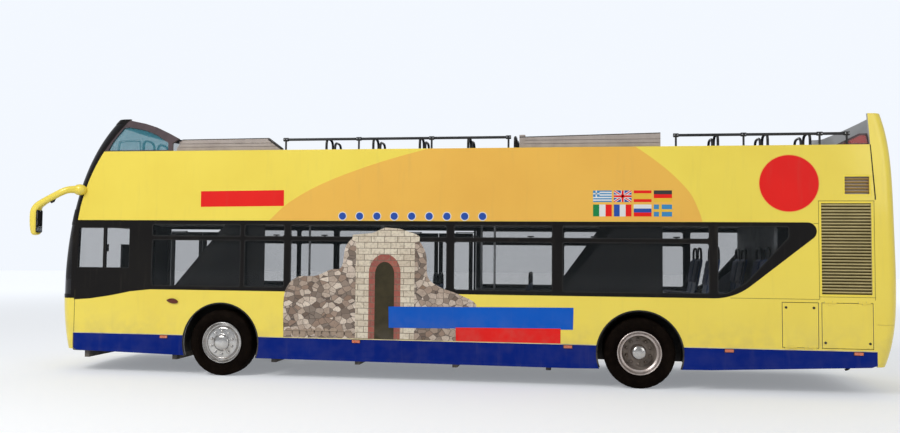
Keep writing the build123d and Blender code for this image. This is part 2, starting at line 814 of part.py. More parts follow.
def seat_pair():
    """A double seat on one pedestal at the front axle, with a grab loop over each backrest."""
    cushions = []
    backs = []
    for k in (-1, 1):
        y = k * (SEAT_WIDTH / 2 + 5)
        y0, y1 = y - SEAT_WIDTH / 2 + 8, y + SEAT_WIDTH / 2 - 8
        cushions.append(side_plate(SEAT_CUSHION, y0, y1))
        back = side_plate(SEAT_BACK, y0, y1)
        backs += [back, handle(at(118), y, 0) - back]
    x = at(0)
    beam = block(x + 60, x + 280, -SEAT_WIDTH, SEAT_WIDTH, 330, 390)
    leg = block(x + 110, x + 230, -90, 90, 0, 340)
    return cushions + backs + [beam + leg - cushions[0] - cushions[1]]


def seat_rows(pair, stations, y, floor):
    """Copies of a double seat at the stations of a row."""
    return [Pos(-station, y, floor) * piece for station in stations for piece in pair]


UPPER_LEFT_ROWS = [-1470.0, 1385.0, 2085.0, 2770.0, 3470.0]
UPPER_LEFT_ROWS += [WHEELBASE + s for s in (-1825.0, 940.0, 1590.0, 2135.0)]
UPPER_RIGHT_ROWS = [-1470.0 + 700.0 * i for i in range(14)]
SEAT_PAIR_Y = 740.0
LOWER_LEFT_ROWS = [1500.0, 2250.0, 3000.0]
LOWER_RIGHT_ROWS = [1450.0, WHEELBASE - 1680, WHEELBASE - 980]
TAIL_ROWS = [WHEELBASE + 940, WHEELBASE + 1600]


def upper_seats():
    """All seats of the upper deck."""
    pair = seat_pair()
    rows = seat_rows(pair, UPPER_LEFT_ROWS, SEAT_PAIR_Y, UPPER_FLOOR_TOP)
    return rows + seat_rows(pair, UPPER_RIGHT_ROWS, -SEAT_PAIR_Y, UPPER_FLOOR_TOP)


def lower_seats():
    """Passenger seats of the lower deck."""
    pair = seat_pair()
    rows = seat_rows(pair, LOWER_LEFT_ROWS, SEAT_PAIR_Y, FLOOR_TOP)
    rows += seat_rows(pair, LOWER_RIGHT_ROWS, -SEAT_PAIR_Y, FLOOR_TOP)
    for side in (1, -1):
        rows += seat_rows(pair, TAIL_ROWS, side * SEAT_PAIR_Y, REAR_FLOOR_TOP)
    return rows


DRIVER_Y = 640.0
DRIVER_SEAT = -1790.0


def driver_seat():
    """The driver's seat on its pedestal."""
    shell = side_plate(SEAT_CUSHION, -250, 250) + side_plate(SEAT_BACK, -250, 250)
    shell = Pos(-DRIVER_SEAT, DRIVER_Y, FLOOR_TOP + 60) * shell
    x = at(DRIVER_SEAT)
    foot = block(x + 60, x + 300, DRIVER_Y - 150, DRIVER_Y + 150, FLOOR_TOP, FLOOR_TOP + 470)
    return shell + foot


def dashboard():
    """Dashboard over the cab's width with the steering column and wheel."""
    outline = [(-2700.0, FLOOR_TOP), (-2700.0, 1080.0), (-2520.0, 1110.0), (-2240.0, 1050.0),
               (-2255.0, 900.0), (-2400.0, FLOOR_TOP)]
    desk = side_plate(outline, -350.0, INNER - 60) & nose_form(FRONT_WALL + 3)
    foot = Vector(at(-2400.0), DRIVER_Y, 960.0)
    head = Vector(at(-2215.0), DRIVER_Y, 1210.0)
    column = rod(tuple(foot), tuple(head), 35)
    plane = Plane(origin=tuple(head), z_dir=head - foot)
    wheel = plane * Torus(215, 16)
    spokes = plane * (Box(424, 40, 14) + Box(40, 424, 14))
    return joined([desk, column, wheel, spokes])


CAB_BACK = -1600.0
CAB_SIDE_Y = 330.0
CAB_WALL = 25.0


def cab_partition():
    """A screen behind the driver and a half-high gate wall beside the cab."""
    back = block(at(CAB_BACK), at(CAB_BACK) + CAB_WALL, CAB_SIDE_Y, INNER - 5, FLOOR_TOP, 1900)
    side = block(at(CAB_BACK), at(-2220.0), CAB_SIDE_Y, CAB_SIDE_Y + CAB_WALL, FLOOR_TOP, 1300)
    return back + side


POLE_R = 17.0
POLES = [
    # station, y of the floor to ceiling grab poles
    (-720.0, -420.0),
    (1000.0, 270.0),
    (1950.0, -700.0),
    (2150.0, 270.0),
    (3600.0, -700.0),
    (3900.0, 270.0),
]


LOOP = [
    # station, height of the grab loops beside the front seats
    (-1739.0, 3190.0),
    (-1695.0, 3445.0),
    (-1372.0, 3457.0),
    (-1342.0, 3190.0),
]
LOOP_Y = 1190.0
LOOP_R = 15.0
ELBOW_R = 18.0


def grab_poles():
    """Floor to ceiling poles of the lower deck and the loops by the front seats."""
    poles = [cylinder_z(at(s), y, POLE_R, FLOOR_TOP, CEILING) for s, y in POLES]
    points = [(at(s), LOOP_Y, z) for s, z in LOOP]
    pieces = [rod(a, b, LOOP_R) for a, b in zip(points, points[1:])]
    pieces += [Pos(*p) * Sphere(ELBOW_R) for p in points]
    for x, _, z in (points[0], points[-1]):
        pieces.append(rod((x, LOOP_Y, z), (x, INNER, z), LOOP_R))
    return poles + both(joined(pieces))


RAIL_Z = 3440.0
RAIL_R = 19.0
RAILS = [
    # post stations of a handrail above the sill, side
    ([930.0, 2020.0, 3080.0, WHEELBASE - 1790], 1),
    ([WHEELBASE + 486, WHEELBASE + 1370, WHEELBASE + 2340, WHEELBASE + 2680], 1),
    (
        [-640.0, 600.0, 1900.0, 3200.0] + [WHEELBASE + s for s in (-1460.0, -160.0, 1140.0, 2340.0, 2680.0)],
        -1,
    ),
]
POST_R = 14.0
CLAMP_R = 27.0
CLAMP_HALF = 35.0


def handrails():
    """Round rails on posts above the sills, with a clamp at each post."""
    rails = []
    for posts, side in RAILS:
        y = side * (HALF - WALL / 2)
        pieces = [rod((at(posts[0]), y, RAIL_Z), (at(posts[-1]), y, RAIL_Z), RAIL_R)]
        for s in posts:
            x = at(s)
            pieces.append(cylinder_z(x, y, POST_R, SILL, RAIL_Z))
            pieces.append(rod((x - CLAMP_HALF, y, RAIL_Z), (x + CLAMP_HALF, y, RAIL_Z), CLAMP_R))
        rails.append(joined(pieces))
    return rails


WING = [
    # station, height of a front wing's outline behind the windscreen's head
    (-1548.0, SCREEN_TOP - 6),
    (-1242.0, 3700.0),
    (-1081.0, 3648.0),
    (-889.0, 3559.0),
    (-715.0, 3468.0),
    (-818.0, 3400.0),
    (-818.0, SILL),
]
WING_PANE = [
    # station, height of the corners of a front wing's pane
    (-1838.0, SILL + 15.0),
    (-1752.0, 3450.0),
    (-1590.0, 3635.0),
    (-1500.0, 3650.0),
    (-1248.0, 3601.0),
    (-1062.0, 3528.0),
    (-880.0, 3410.0),
    (-880.0, SILL + 15.0),
]
REAR_WING = [
    (WHEELBASE + 2540, SILL),
    (WHEELBASE + 2840, 3440.0),
    (WHEELBASE + 2940, 3440.0),
    (WHEELBASE + 2975, SILL),
]
REAR_WING_PANE = [
    (WHEELBASE + 2630, SILL + 18),
    (WHEELBASE + 2852, 3415.0),
    (WHEELBASE + 2920, 3415.0),
    (WHEELBASE + 2948, SILL + 18),
]
REAR_WING_Y = (HALF - REAR_WALL - 12.0, HALF - REAR_WALL)


def wings():
    """Glazed wings on the sills beside the windscreen and the rear wall: frames and panes."""
    outline = [(FAR_FRONT, SILL), (FAR_FRONT, SCREEN_TOP)] + WING
    plate = side_plate(outline, HALF - FRONT_WALL, HALF - 4) - nose_region(SILL - 1, SCREEN_TOP + 60)
    hole = side_plate(WING_PANE, HALF - 80, HALF + 20)
    pane = side_plate(inset(WING_PANE, PANE_GAP), HALF - 30, HALF - 22)
    y0, y1 = REAR_WING_Y
    rear = side_plate(REAR_WING, y0, y1) - side_plate(REAR_WING_PANE, y0 - 10, y1 + 10)
    rear_pane = side_plate(inset(REAR_WING_PANE, PANE_GAP), y0 + 4, y1 - 3)
    return both(plate - hole) + both(rear), both(pane) + both(rear_pane)


# Mirrors, lamps and wipers

MIRROR_OUT = 150.0
MIRROR_HEAD = -(FRONT_OVERHANG + MIRROR_REACH - 65.0)
MIRROR_ARM = [
    # station, distance outside the body's side, height: bends of the arm
    (-2262.0, 20.0, 2712.0),
    (-2400.0, 110.0, 2700.0),
    (-2560.0, MIRROR_OUT, 2625.0),
    (-2760.0, MIRROR_OUT, 2520.0),
    (MIRROR_HEAD, MIRROR_OUT, 2455.0),
    (MIRROR_HEAD, MIRROR_OUT, 2380.0),
]
KNOB_R = 88.0
ARM_R = 42.0
MIRROR_SIZE = (130.0, 200.0, 430.0)
MIRROR_Z = 2235.0


def mirrors():
    """A hanging outside mirror on a curved arm from a round base, on each side."""
    points = [(at(s), HALF + out, z) for s, out, z in MIRROR_ARM]
    pieces = [Pos(*points[0]) * Sphere(KNOB_R)]
    for a, b in zip(points, points[1:]):
        pieces.append(Pos(*b) * Sphere(ARM_R))
        pieces.append(rod(a, b, ARM_R))
    head = Pos(at(MIRROR_HEAD), HALF + MIRROR_OUT, MIRROR_Z) * Box(*MIRROR_SIZE)
    head = fillet(head.edges(), 35)
    whole = joined(pieces + [head]) - nose_form(-0.3)
    whole = whole - block(at(-2400.0), at(-1900.0), 0, HALF + 0.3, 2400, 3000)
    return both(whole)


HEADLAMP_Y = [700.0, 930.0]
HEADLAMP_Z = 640.0
HEADLAMP_R = 95.0


def lamp_bore(y, z, radius, depth=300.0):
    """A round cut into the nose at a lamp."""
    return rod((at(-2480), y, z), (at(-2480 - depth), y, z), radius)


def headlamps():
    """Round headlamps seated in the bumper, two on each side."""
    lamps = []
    for y in HEADLAMP_Y:
        lamp = (nose_form(3) - nose_form(FRONT_WALL)) & lamp_bore(y, HEADLAMP_Z, HEADLAMP_R - 0.4)
        lamps += both(lamp)
    return lamps


MARKERS_LEFT = [-870.0, 2030.0, WHEELBASE - 960, WHEELBASE + 1160, WHEELBASE + 2780]


def marker_lamps():
    """Small side marker lamps on the skirts."""
    lamps = []
    for s in MARKERS_LEFT:
        lamps.append(block(at(s - 55), at(s + 55), HALF, HALF + 14, SKIRT_TOP - 45, SKIRT_TOP - 8))
    return lamps + [mirror(lamp, about=Plane.XZ) for lamp in lamps]


# Axles and wheels

FRONT_BEAM_DROP = 250.0


def front_axle():
    """Drop beam with a kingpin boss at each end and spring pads."""
    x = AXLE_F
    points = [(-KINGPIN_Y, 430.0), (-KINGPIN_Y, 520.0), (-800.0, 500.0), (-640.0, 285.0), (640.0, 285.0),
              (800.0, 500.0), (KINGPIN_Y, 520.0), (KINGPIN_Y, 430.0), (840.0, 425.0), (680.0, 190.0),
              (-680.0, 190.0), (-840.0, 425.0)]
    face = Face(Wire.make_polygon([(x - 50, y, z) for y, z in points]))
    beam = extrude(face, amount=100, dir=(1, 0, 0))
    for side in (1, -1):
        beam = beam + block(x - 60, x + 60, side * 380, side * 450, 270, SPRING_RAIL_FOOT)
        beam = beam + cylinder_z(x, side * KINGPIN_Y, 62, 420, 530)
        beam = beam - cylinder_z(x, side * KINGPIN_Y, 30.5, 400, 550)
    return beam


def knuckle(side):
    """Steering knuckle: fork round the beam's end, kingpin and stub axle."""
    x = AXLE_F
    y = side * KINGPIN_Y
    pieces = [cylinder_z(x, y, 30, 380, 570)]
    for z0, z1 in ((380.0, 414.0), (536.0, 570.0)):
        pieces.append(cylinder_z(x, y, 62, z0, z1))
        pieces.append(block(x - 50, x + 50, y, y + side * 96, z0, z1))
    pieces.append(block(x - 50, x + 50, y + side * 68, y + side * 96, 380, 570))
    pieces.append(cylinder_y(x, TYRE_R, 45, y + side * 90, side * (FRONT_TRACK_HALF + 60)))
    return joined(pieces)


TYRE_PROFILE = [
    # radius, offset from the tyre's middle
    (RIM_R, 92.0),
    (330.0, 120.0),
    (385.0, 137.5),
    (430.0, 134.0),
    (462.0, 122.0),
    (TYRE_R - 4, 104.0),
    (TYRE_R, 90.0),
]


def tyre(x, y):
    """A tyre turned about its axle."""
    right = [(r, -w) for r, w in TYRE_PROFILE[::-1]]
    return turned(TYRE_PROFILE + right, x, y, TYRE_R)


def rim(x, y, side, dish, seat):
    """A rim with its disc: dish is the disc's offset at the hub, seat its offset at the barrel."""
    barrel = [(RIM_R - 0.5, 92), (RIM_R - 0.5, 104), (RIM_R - 12, 104), (RIM_R - 40, 60),
              (RIM_R - 40, -60), (RIM_R - 12, -104), (RIM_R - 0.5, -104), (RIM_R - 0.5, -92),
              (RIM_R - 26, -50), (RIM_R - 26, 50)]
    ring = turned(barrel, x, y, TYRE_R, side)
    disc = [(140, dish - 7), (205, dish - 7), (RIM_R - 38, seat - 8), (RIM_R - 30, seat - 8),
            (RIM_R - 30, seat + 8), (RIM_R - 42, seat + 8), (205, dish + 8), (140, dish + 8)]
    return ring, turned(disc, x, y, TYRE_R, side)


def front_rim(side):
    """Single front rim with its hub."""
    x = AXLE_F
    y = side * FRONT_TRACK_HALF
    ring, disc = rim(x, y, side, 72, 30)
    hub = [(45.5, -70), (150, -70), (150, 78), (105, 84), (95, 110), (45.5, 118)]
    return joined([ring, disc, turned(hub, x, y, TYRE_R, side)])


def rear_rim(side):
    """Twin rear rims on one hub."""
    x = AXLE_R
    outer_y = side * TWIN_OUTER_Y
    inner_y = side * (TWIN_OUTER_Y - TWIN_SPACING)
    ring_o, disc_o = rim(x, outer_y, side, -120, -40)
    ring_i, disc_i = rim(x, inner_y, -side, -120, -40)
    span = TWIN_SPACING
    hub = [(60.5, -span - 20), (150, -span - 20), (150, -104), (105, -98), (95, 30), (60.5, 38)]
    return joined([ring_o, disc_o, ring_i, disc_i, turned(hub, x, outer_y, TYRE_R, side)])


HIGH_RAIL_FOOT = 675.0
SPRING_RAIL_FOOT = 296.0


def rear_axle():
    """Rear axle: housing tube with a round differential and two stub ends."""
    tube = cylinder_y(AXLE_R, TYRE_R, 80, -640, 640)
    bulge = cylinder_y(AXLE_R, TYRE_R, 190, -130, 110)
    stubs = cylinder_y(AXLE_R, TYRE_R, 60, -TWIN_OUTER_Y - 30, TWIN_OUTER_Y + 30)
    bellows = [cylinder_z(AXLE_R, side * 415, 70, TYRE_R, HIGH_RAIL_FOOT) for side in (1, -1)]
    return joined([tube, bulge, stubs] + bellows)


TOW_R = 20.0
TOW_THICK = 35.0
TOW_HALF = 60.0
TOWS = [
    # station of the eye, station where the plate starts, height of its underside
    (-2500.0, -2080.0, 240.0),
    (TAIL_REACH - 204, TAIL_REACH - 384, 320.0),
]


def tow_plates():
    """Flat towing plates ahead of and behind the chassis, each with an upright eye."""
    plates = []
    for eye, start, z in TOWS:
        out = 1 if eye > start else -1
        plate = block(at(start), at(eye + out * TOW_HALF), -TOW_HALF, TOW_HALF, z, z + TOW_THICK)
        plates.append(plate - cylinder_z(at(eye), 0, TOW_R, z - 5, z + TOW_THICK + 5))
    return plates


def chassis_frame():
    """Side rails and cross members under the floor, with the axle hangers and engine cradle."""
    rails = []
    for side in (1, -1):
        y0, y1 = side * 380, side * 450
        rails.append(block(at(150.0), at(REAR_STEP + 150), y0, y1, 215, FLOOR_UNDER))
        rails.append(block(at(-2200.0), at(-150.0), y0, y1, 215, FLOOR_UNDER))
        rails.append(block(at(-200.0), at(200.0), y0, y1, SPRING_RAIL_FOOT, FLOOR_UNDER))
        rails.append(block(at(REAR_STEP + 60), at(REAR_STEP + 150), y0, y1, 215, 720))
        rails.append(block(at(REAR_STEP + 60), at(WHEELBASE + 1040), y0, y1, HIGH_RAIL_FOOT, 720))
        rails.append(block(at(WHEELBASE + 960), at(WHEELBASE + 1040), y0, y1, 300, 720))
        rails.append(block(at(WHEELBASE + 960), at(WHEELBASE + 2940), y0, y1, 300, 380))
    cross = []
    for s in (-2150.0, -760.0, 760.0, 2000.0, 3400.0, WHEELBASE - 1260):
        cross.append(block(at(s), at(s + 70), -INNER, INNER, 215, FLOOR_UNDER))
    cross.append(block(at(WHEELBASE + 970), at(WHEELBASE + 1040), -INNER, INNER, 300, 380))
    cross.append(block(at(WHEELBASE + 2870), at(WHEELBASE + 2940), -INNER, INNER, 400, 460))
    cross.append(block(at(WHEELBASE + 2870), at(WHEELBASE + 2940), -450, 450, 300, 460))
    return joined(rails + cross + tow_plates())


def engine_block():
    """The engine and gearbox as one plain block."""
    return block(at(WHEELBASE + 1830), at(WHEELBASE + 2860), -500, 500, 380, 1300)


# Doors of the right side

LEAF_THICK = 34.0
LEAF_Y = -(HALF - 34.0)
SHAFT_R = 20.0
SHAFT_GAP = 26.0
LEAF_START = 32.0
MEET_GAP = 6.0
LEAF_FOOT = 402.0
LEAF_HEAD = 2160.0
ARM_THICK = 14.0
ARM_GAP = 6.0
PIVOT_R = 12.0


def door_half(edge, toward):
    """A post with two arms, and the leaf it carries; toward is +1 for rearward."""
    a, b = edge
    reach = abs(b - a) / 2 - SHAFT_GAP - MEET_GAP
    post_s = (a if toward > 0 else b) + toward * SHAFT_GAP
    pivot_s = post_s + toward * reach / 2
    x = at(post_s)
    px = at(pivot_s)
    post = cylinder_z(x, LEAF_Y, SHAFT_R, FLOOR_TOP + 0.3, DOOR_HEAD - 0.3)
    arms = [post]
    for z0 in (LEAF_FOOT - ARM_GAP - ARM_THICK, LEAF_HEAD + ARM_GAP):
        bar = block(x, px, LEAF_Y - 16, LEAF_Y + 16, z0, z0 + ARM_THICK)
        eye = cylinder_z(px, LEAF_Y, 22, z0, z0 + ARM_THICK)
        arms.append((bar + eye) - cylinder_z(px, LEAF_Y, PIVOT_R + 0.3, z0 - 5, z0 + ARM_THICK + 5))
    leaf = block(at(post_s + toward * LEAF_START), at(post_s + toward * reach),
                 LEAF_Y - LEAF_THICK / 2, LEAF_Y + LEAF_THICK / 2, LEAF_FOOT, LEAF_HEAD)
    recess = block(at(post_s + toward * (LEAF_START + 55)), at(post_s + toward * (reach - 55)),
                   LEAF_Y + 4, LEAF_Y + LEAF_THICK, LEAF_FOOT + 80, LEAF_HEAD - 80)
    leaf = leaf - recess
    leaf = leaf - mirror(recess, about=Plane.XZ.offset(-LEAF_Y))
    leaf = leaf + cylinder_z(px, LEAF_Y, PIVOT_R, LEAF_FOOT - ARM_GAP - ARM_THICK, LEAF_FOOT)
    leaf = leaf + cylinder_z(px, LEAF_Y, PIVOT_R, LEAF_HEAD, LEAF_HEAD + ARM_GAP + ARM_THICK)
    return joined(arms), leaf


TAIL_LAMP_Y = 1020.0
TAIL_LAMP_Z = [1080.0, 1230.0, 1380.0]
TAIL_LAMP_R = 58.0


def tail_lamps():
    """Round tail lamps on the rear wall, three on each side."""
    ring = tail_form(-10) - tail_form(0)
    lamps = []
    for z in TAIL_LAMP_Z:
        ends = [(at(TAIL_REACH + s), TAIL_LAMP_Y, z) for s in (-184.0, 116.0)]
        lamps += both(ring & rod(ends[0], ends[1], TAIL_LAMP_R))
    return lamps


def wipers():
    """Two wiper arms with blades, parked along the foot of the lower windscreen."""
    skin = nose_form(-24) - nose_form(-10)
    blades = []
    for y0, y1 in ((-950.0, -60.0), (60.0, 950.0)):
        strip = block(at(-2000), at(-2900), y0, y1, 1210, 1236)
        foot = block(at(-2000), at(-2900), (y0 + y1) / 2 - 25, (y0 + y1) / 2 + 25, 1110, 1236)
        post = nose_form(-12) - nose_form(0)
        stud = post & block(at(-2000), at(-2900), (y0 + y1) / 2 - 25, (y0 + y1) / 2 + 25, 1100, 1140)
        blades.append((skin & strip) + (skin & foot) + stud)
    return blades


def build():
    """Write every node."""
    os.makedirs("parts", exist_ok=True)
    save("chassis_frame", chassis_frame())
    save("lower_floor", lower_floor())
    save("wheelhouses", wheelhouses())
    save("upper_floor", upper_floor())
    bumper, panel, frame, panes = front_pieces()
    save("front_bumper", bumper)
    save("front_panel", panel)
    save("windscreen_frame", frame)
    save("windscreens", panes)
    bumper, wall, lid = rear_pieces()
    save("rear_bumper", bumper)
    save("rear_wall", wall)
    save("engine_lid", lid)
    save("side_panels", side_panels())
    save("skirts", skirts())
    frames, panes = window_frames()
    save("window_frames", frames)
    save("side_windows", panes)
    save("upper_panels", upper_panels())
    save("louvres", louvre(LOUVRE_BIG), louvre(LOUVRE_SMALL))
    save("stairs", stair(STAIRS[0], LANDING, STAIR_SIDES[0]), stair(STAIRS[1], 0.0, STAIR_SIDES[1]))
    save("stairwell_boxes", stairwell_boxes())
    save("upper_seats", upper_seats())
    save("lower_seats", lower_seats())
    save("driver_seat", driver_seat())
    save("dashboard", dashboard())
    save("cab_partition", cab_partition())
    save("grab_poles", grab_poles())
    save("handrails", handrails())
    frames, panes = wings()
    save("wing_frames", frames)
    save("wing_windows", panes)
    save("mirrors", mirrors())
    save("marker_lamps", marker_lamps())
    save("headlamps", headlamps())
    save("tail_lamps", tail_lamps())
    save("wipers", wipers())
    for name, plate in flaps().items():
        save(name, plate)
    save("front_axle", front_axle())
    save("rear_axle", rear_axle())
    save("engine_block", engine_block())
    for side, name in ((1, "left"), (-1, "right")):
        save(f"knuckle_{name}", knuckle(side))
        save(f"front_tyre_{name}", tyre(AXLE_F, side * FRONT_TRACK_HALF))
        save(f"front_rim_{name}", front_rim(side))
        save(f"rear_tyres_{name}", tyre(AXLE_R, side * TWIN_OUTER_Y),
             tyre(AXLE_R, side * (TWIN_OUTER_Y - TWIN_SPACING)))
        save(f"rear_rims_{name}", rear_rim(side))
    for door, name in ((FRONT_DOOR, "front_door"), (MID_DOOR, "mid_door")):
        for toward, half in ((1, "a"), (-1, "b")):
            arms, leaf = door_half(door, toward)
            save(f"{name}_arms_{half}", arms)
            save(f"{name}_leaf_{half}", leaf)


build()
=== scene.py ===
import random
from math import copysign, cos, exp, pi, radians, sin, sqrt, tan

import bmesh
import bpy
from mathutils import Matrix, Vector
from mathutils.bvhtree import BVHTree


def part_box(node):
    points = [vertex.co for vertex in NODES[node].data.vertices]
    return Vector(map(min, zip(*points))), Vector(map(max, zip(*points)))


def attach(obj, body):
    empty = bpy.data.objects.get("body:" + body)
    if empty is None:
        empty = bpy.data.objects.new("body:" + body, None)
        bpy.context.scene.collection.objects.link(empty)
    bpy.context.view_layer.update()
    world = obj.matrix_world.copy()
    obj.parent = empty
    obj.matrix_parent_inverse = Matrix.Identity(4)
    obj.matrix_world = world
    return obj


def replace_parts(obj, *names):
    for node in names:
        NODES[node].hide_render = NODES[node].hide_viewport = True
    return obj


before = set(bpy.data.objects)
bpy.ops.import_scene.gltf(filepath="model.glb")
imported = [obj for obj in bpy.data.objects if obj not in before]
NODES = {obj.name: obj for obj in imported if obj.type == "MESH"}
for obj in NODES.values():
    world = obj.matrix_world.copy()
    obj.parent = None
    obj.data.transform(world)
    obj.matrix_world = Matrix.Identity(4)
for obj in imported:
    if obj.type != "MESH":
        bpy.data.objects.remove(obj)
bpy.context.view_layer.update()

# Open top double decker bus. Metres, +X forward, +Y left, +Z up.
# Stations are counted rearward from the front axle, as in the solids.

random.seed(7)

HALF = 1.275
INNER = 1.215
AXLE_F = 3.18
WHEELBASE = 5.96
AXLE_R = AXLE_F - WHEELBASE
TYRE_R = 0.478
FRONT_TYRE_Y = 1.112
TWIN_OUTER_Y = 1.106
TWIN_SPACING = 0.312
ARCH_R = 0.58
SKIRT_TOP = 0.576
TAIL_START = 8.972
PANE_FACE = HALF - 0.006
SIDES = ((1, "l"), (-1, "r"))
WHEEL_SIDES = ((1, "left"), (-1, "right"))


def at(station):
    """X of a station."""
    return AXLE_F - station


# Material building

ROAD_DUST = (0.27, 0.235, 0.19)
RAIN_DIRT = (0.20, 0.17, 0.12)


class Tree:
    """Nodes of one material, or of the world."""

    def __init__(self, name, owners=bpy.data.materials, shader="Principled BSDF"):
        self.material = owners.new(name)
        self.material.use_nodes = True
        self.nodes = self.material.node_tree.nodes
        self.links = self.material.node_tree.links
        self.shader = self.nodes[shader]
        self.place = self.add("TexCoord").outputs["Object"]
        self.parts = None

    def add(self, kind, inputs=(), **settings):
        node = self.nodes.new("ShaderNode" + kind)
        for key, value in settings.items():
            setattr(node, key, value)
        for key, value in dict(inputs).items():
            self.put(node.inputs[key], value)
        return node

    def put(self, socket, value):
        if isinstance(value, bpy.types.NodeSocket):
            self.links.new(value, socket)
        elif isinstance(value, tuple) and len(value) == 3 and socket.type == "RGBA":
            socket.default_value = (*value, 1.0)
        else:
            socket.default_value = value

    def axis(self, letter):
        if self.parts is None:
            self.parts = self.add("SeparateXYZ", {0: self.place})
        return self.parts.outputs[letter]

    def calc(self, operation, a, b=0.0, clamp=False):
        return self.add("Math", {0: a, 1: b}, operation=operation, use_clamp=clamp).outputs[0]

    def times(self, a, b):
        return self.calc("MULTIPLY", a, b)

    def plus(self, total, *terms):
        for term in terms:
            total = self.calc("ADD", total, term)
        return total

    def stretched(self, stretch):
        if not stretch:
            return self.place
        return self.add("Mapping", {"Vector": self.place, "Scale": stretch}).outputs[0]

    def noise(self, scale, detail=4.0, stretch=None):
        return self.add("TexNoise", {"Vector": self.stretched(stretch), "Scale": scale, "Detail": detail,
                                     "Roughness": 0.55}).outputs["Fac"]

    def cells(self, scale, feature="F1", stretch=None, socket="Distance"):
        inputs = {"Vector": self.stretched(stretch), "Scale": scale}
        return self.add("TexVoronoi", inputs, feature=feature).outputs[socket]

    def ramp(self, value, low, high, top=1.0):
        return self.add("MapRange", {"Value": value, "From Min": low, "From Max": high, "To Min": 0.0,
                                     "To Max": top}, interpolation_type="SMOOTHSTEP").outputs[0]

    def mix(self, share, a, b):
        return self.add("Mix", {0: share, 6: a, 7: b}, data_type="RGBA").outputs[2]

    def blend(self, share, a, b):
        return self.add("Mix", {0: share, 2: a, 3: b}, data_type="FLOAT").outputs[0]

    def mottle(self, scale, detail, low, high, a, b, top=1.0):
        """Two colours mixed in soft patches."""
        return self.mix(self.ramp(self.noise(scale, detail), low, high, top), a, b)

    def set(self, **values):
        for key, value in values.items():
            self.put(self.shader.inputs[key.replace("_", " ")], value)

    def finish(self, tone, rough, height, distance, strength, **values):
        """The last step of a material: colour, roughness, relief and other values."""
        relief = self.add("Bump", {"Height": height, "Distance": distance, "Strength": strength})
        self.set(Base_Color=tone, Roughness=rough, Normal=relief.outputs[0], **values)
        return self.material

    def inside(self):
        """1 on faces that look towards the middle of the bus, 0 on outer faces."""
        normal = self.add("NewGeometry").outputs["Normal"]
        inward = self.add("VectorMath", {0: self.place, 1: (-1.0, -1.0, 0.0)}, operation="MULTIPLY")
        dot = self.add("VectorMath", {0: normal, 1: inward.outputs[0]}, operation="DOT_PRODUCT")
        return self.ramp(dot.outputs["Value"], 0.15, 0.3)


def road_dirt(t, tone, amount, top=1.15):
    """Dust thrown up by the wheels: a colour and its share."""
    share = t.times(t.times(t.ramp(t.axis("Z"), top, 0.25), t.ramp(t.noise(5.0, 7.0), 0.34, 0.72)), amount)
    return t.mix(share, tone, ROAD_DUST), share


def paint(name, color, shade, rough=0.28, dust=0.26, lining=None, coat=0.4, shine=0.4):
    """Coach paint: slight fading, rain streaks, road dust and a soft orange-peel surface."""
    t = Tree(name)
    tone = t.mottle(0.8, 3.0, 0.3, 0.75, color, shade, 0.8)
    tone = t.mix(t.ramp(t.noise(2.2, 6.0, (5.0, 5.0, 0.55)), 0.52, 0.85, 0.09), tone, RAIN_DIRT)
    tone, low = road_dirt(t, tone, dust)
    tone = t.mix(t.times(t.ramp(t.noise(60.0, 2.0), 0.74, 0.78, 0.35), low), tone, (0.12, 0.11, 0.10))
    scratch = t.ramp(t.noise(9.0, 3.0, (1.0, 1.0, 14.0)), 0.6, 0.9, 0.07)
    gloss = t.plus(rough, scratch, t.times(low, 0.5))
    if lining:
        share = t.inside()
        tone = t.mix(share, tone, lining)
        gloss = t.blend(share, gloss, 0.62)
    peel = t.plus(t.times(t.noise(1.6, 2.0), 0.6), t.times(t.noise(240.0, 2.0), 0.012))
    return t.finish(tone, gloss, peel, 0.0035, 0.5, Coat_Weight=coat, Coat_Roughness=0.08,
                    Specular_IOR_Level=shine)


def sign(name, color, shade, shine=0.2):
    """Flat paint of printed marks."""
    return paint(name, color, shade, 0.4, coat=0.0, shine=shine)


def plastic(name, color, shade, rough=0.45, grain=180.0, depth=0.0006):
    """Moulded plastic with a fine grain, scuffs and dust in its hollows."""
    t = Tree(name)
    tone = t.mottle(6.0, 5.0, 0.35, 0.7, color, shade)
    scuff = t.ramp(t.noise(22.0, 6.0, (1.0, 3.0, 1.0)), 0.62, 0.8, 0.25)
    tone = t.mix(scuff, tone, tuple(min(1.0, c * 1.6 + 0.05) for c in color))
    tone, low = road_dirt(t, tone, 0.3, 1.0)
    rough = t.plus(rough, t.plus(t.times(scuff, 0.5), t.times(low, 0.3)))
    return t.finish(tone, rough, t.cells(grain), depth, 0.5, Specular_IOR_Level=0.3)


def metal(name, color, shade, rough=0.3, brushed=None, dust=0.25, top=1.0, metallic=1.0):
    """Bare or plated metal with brushing, tarnish and dust."""
    t = Tree(name)
    tone, low = road_dirt(t, t.mottle(9.0, 6.0, 0.4, 0.75, color, shade), dust, top)
    grain = t.noise(70.0, 3.0, brushed or (1.0, 1.0, 1.0))
    rough = t.plus(rough, t.ramp(grain, 0.3, 0.8, 0.12), t.times(low, 0.4))
    return t.finish(tone, rough, grain, 0.0004, 0.3, Metallic=metallic)


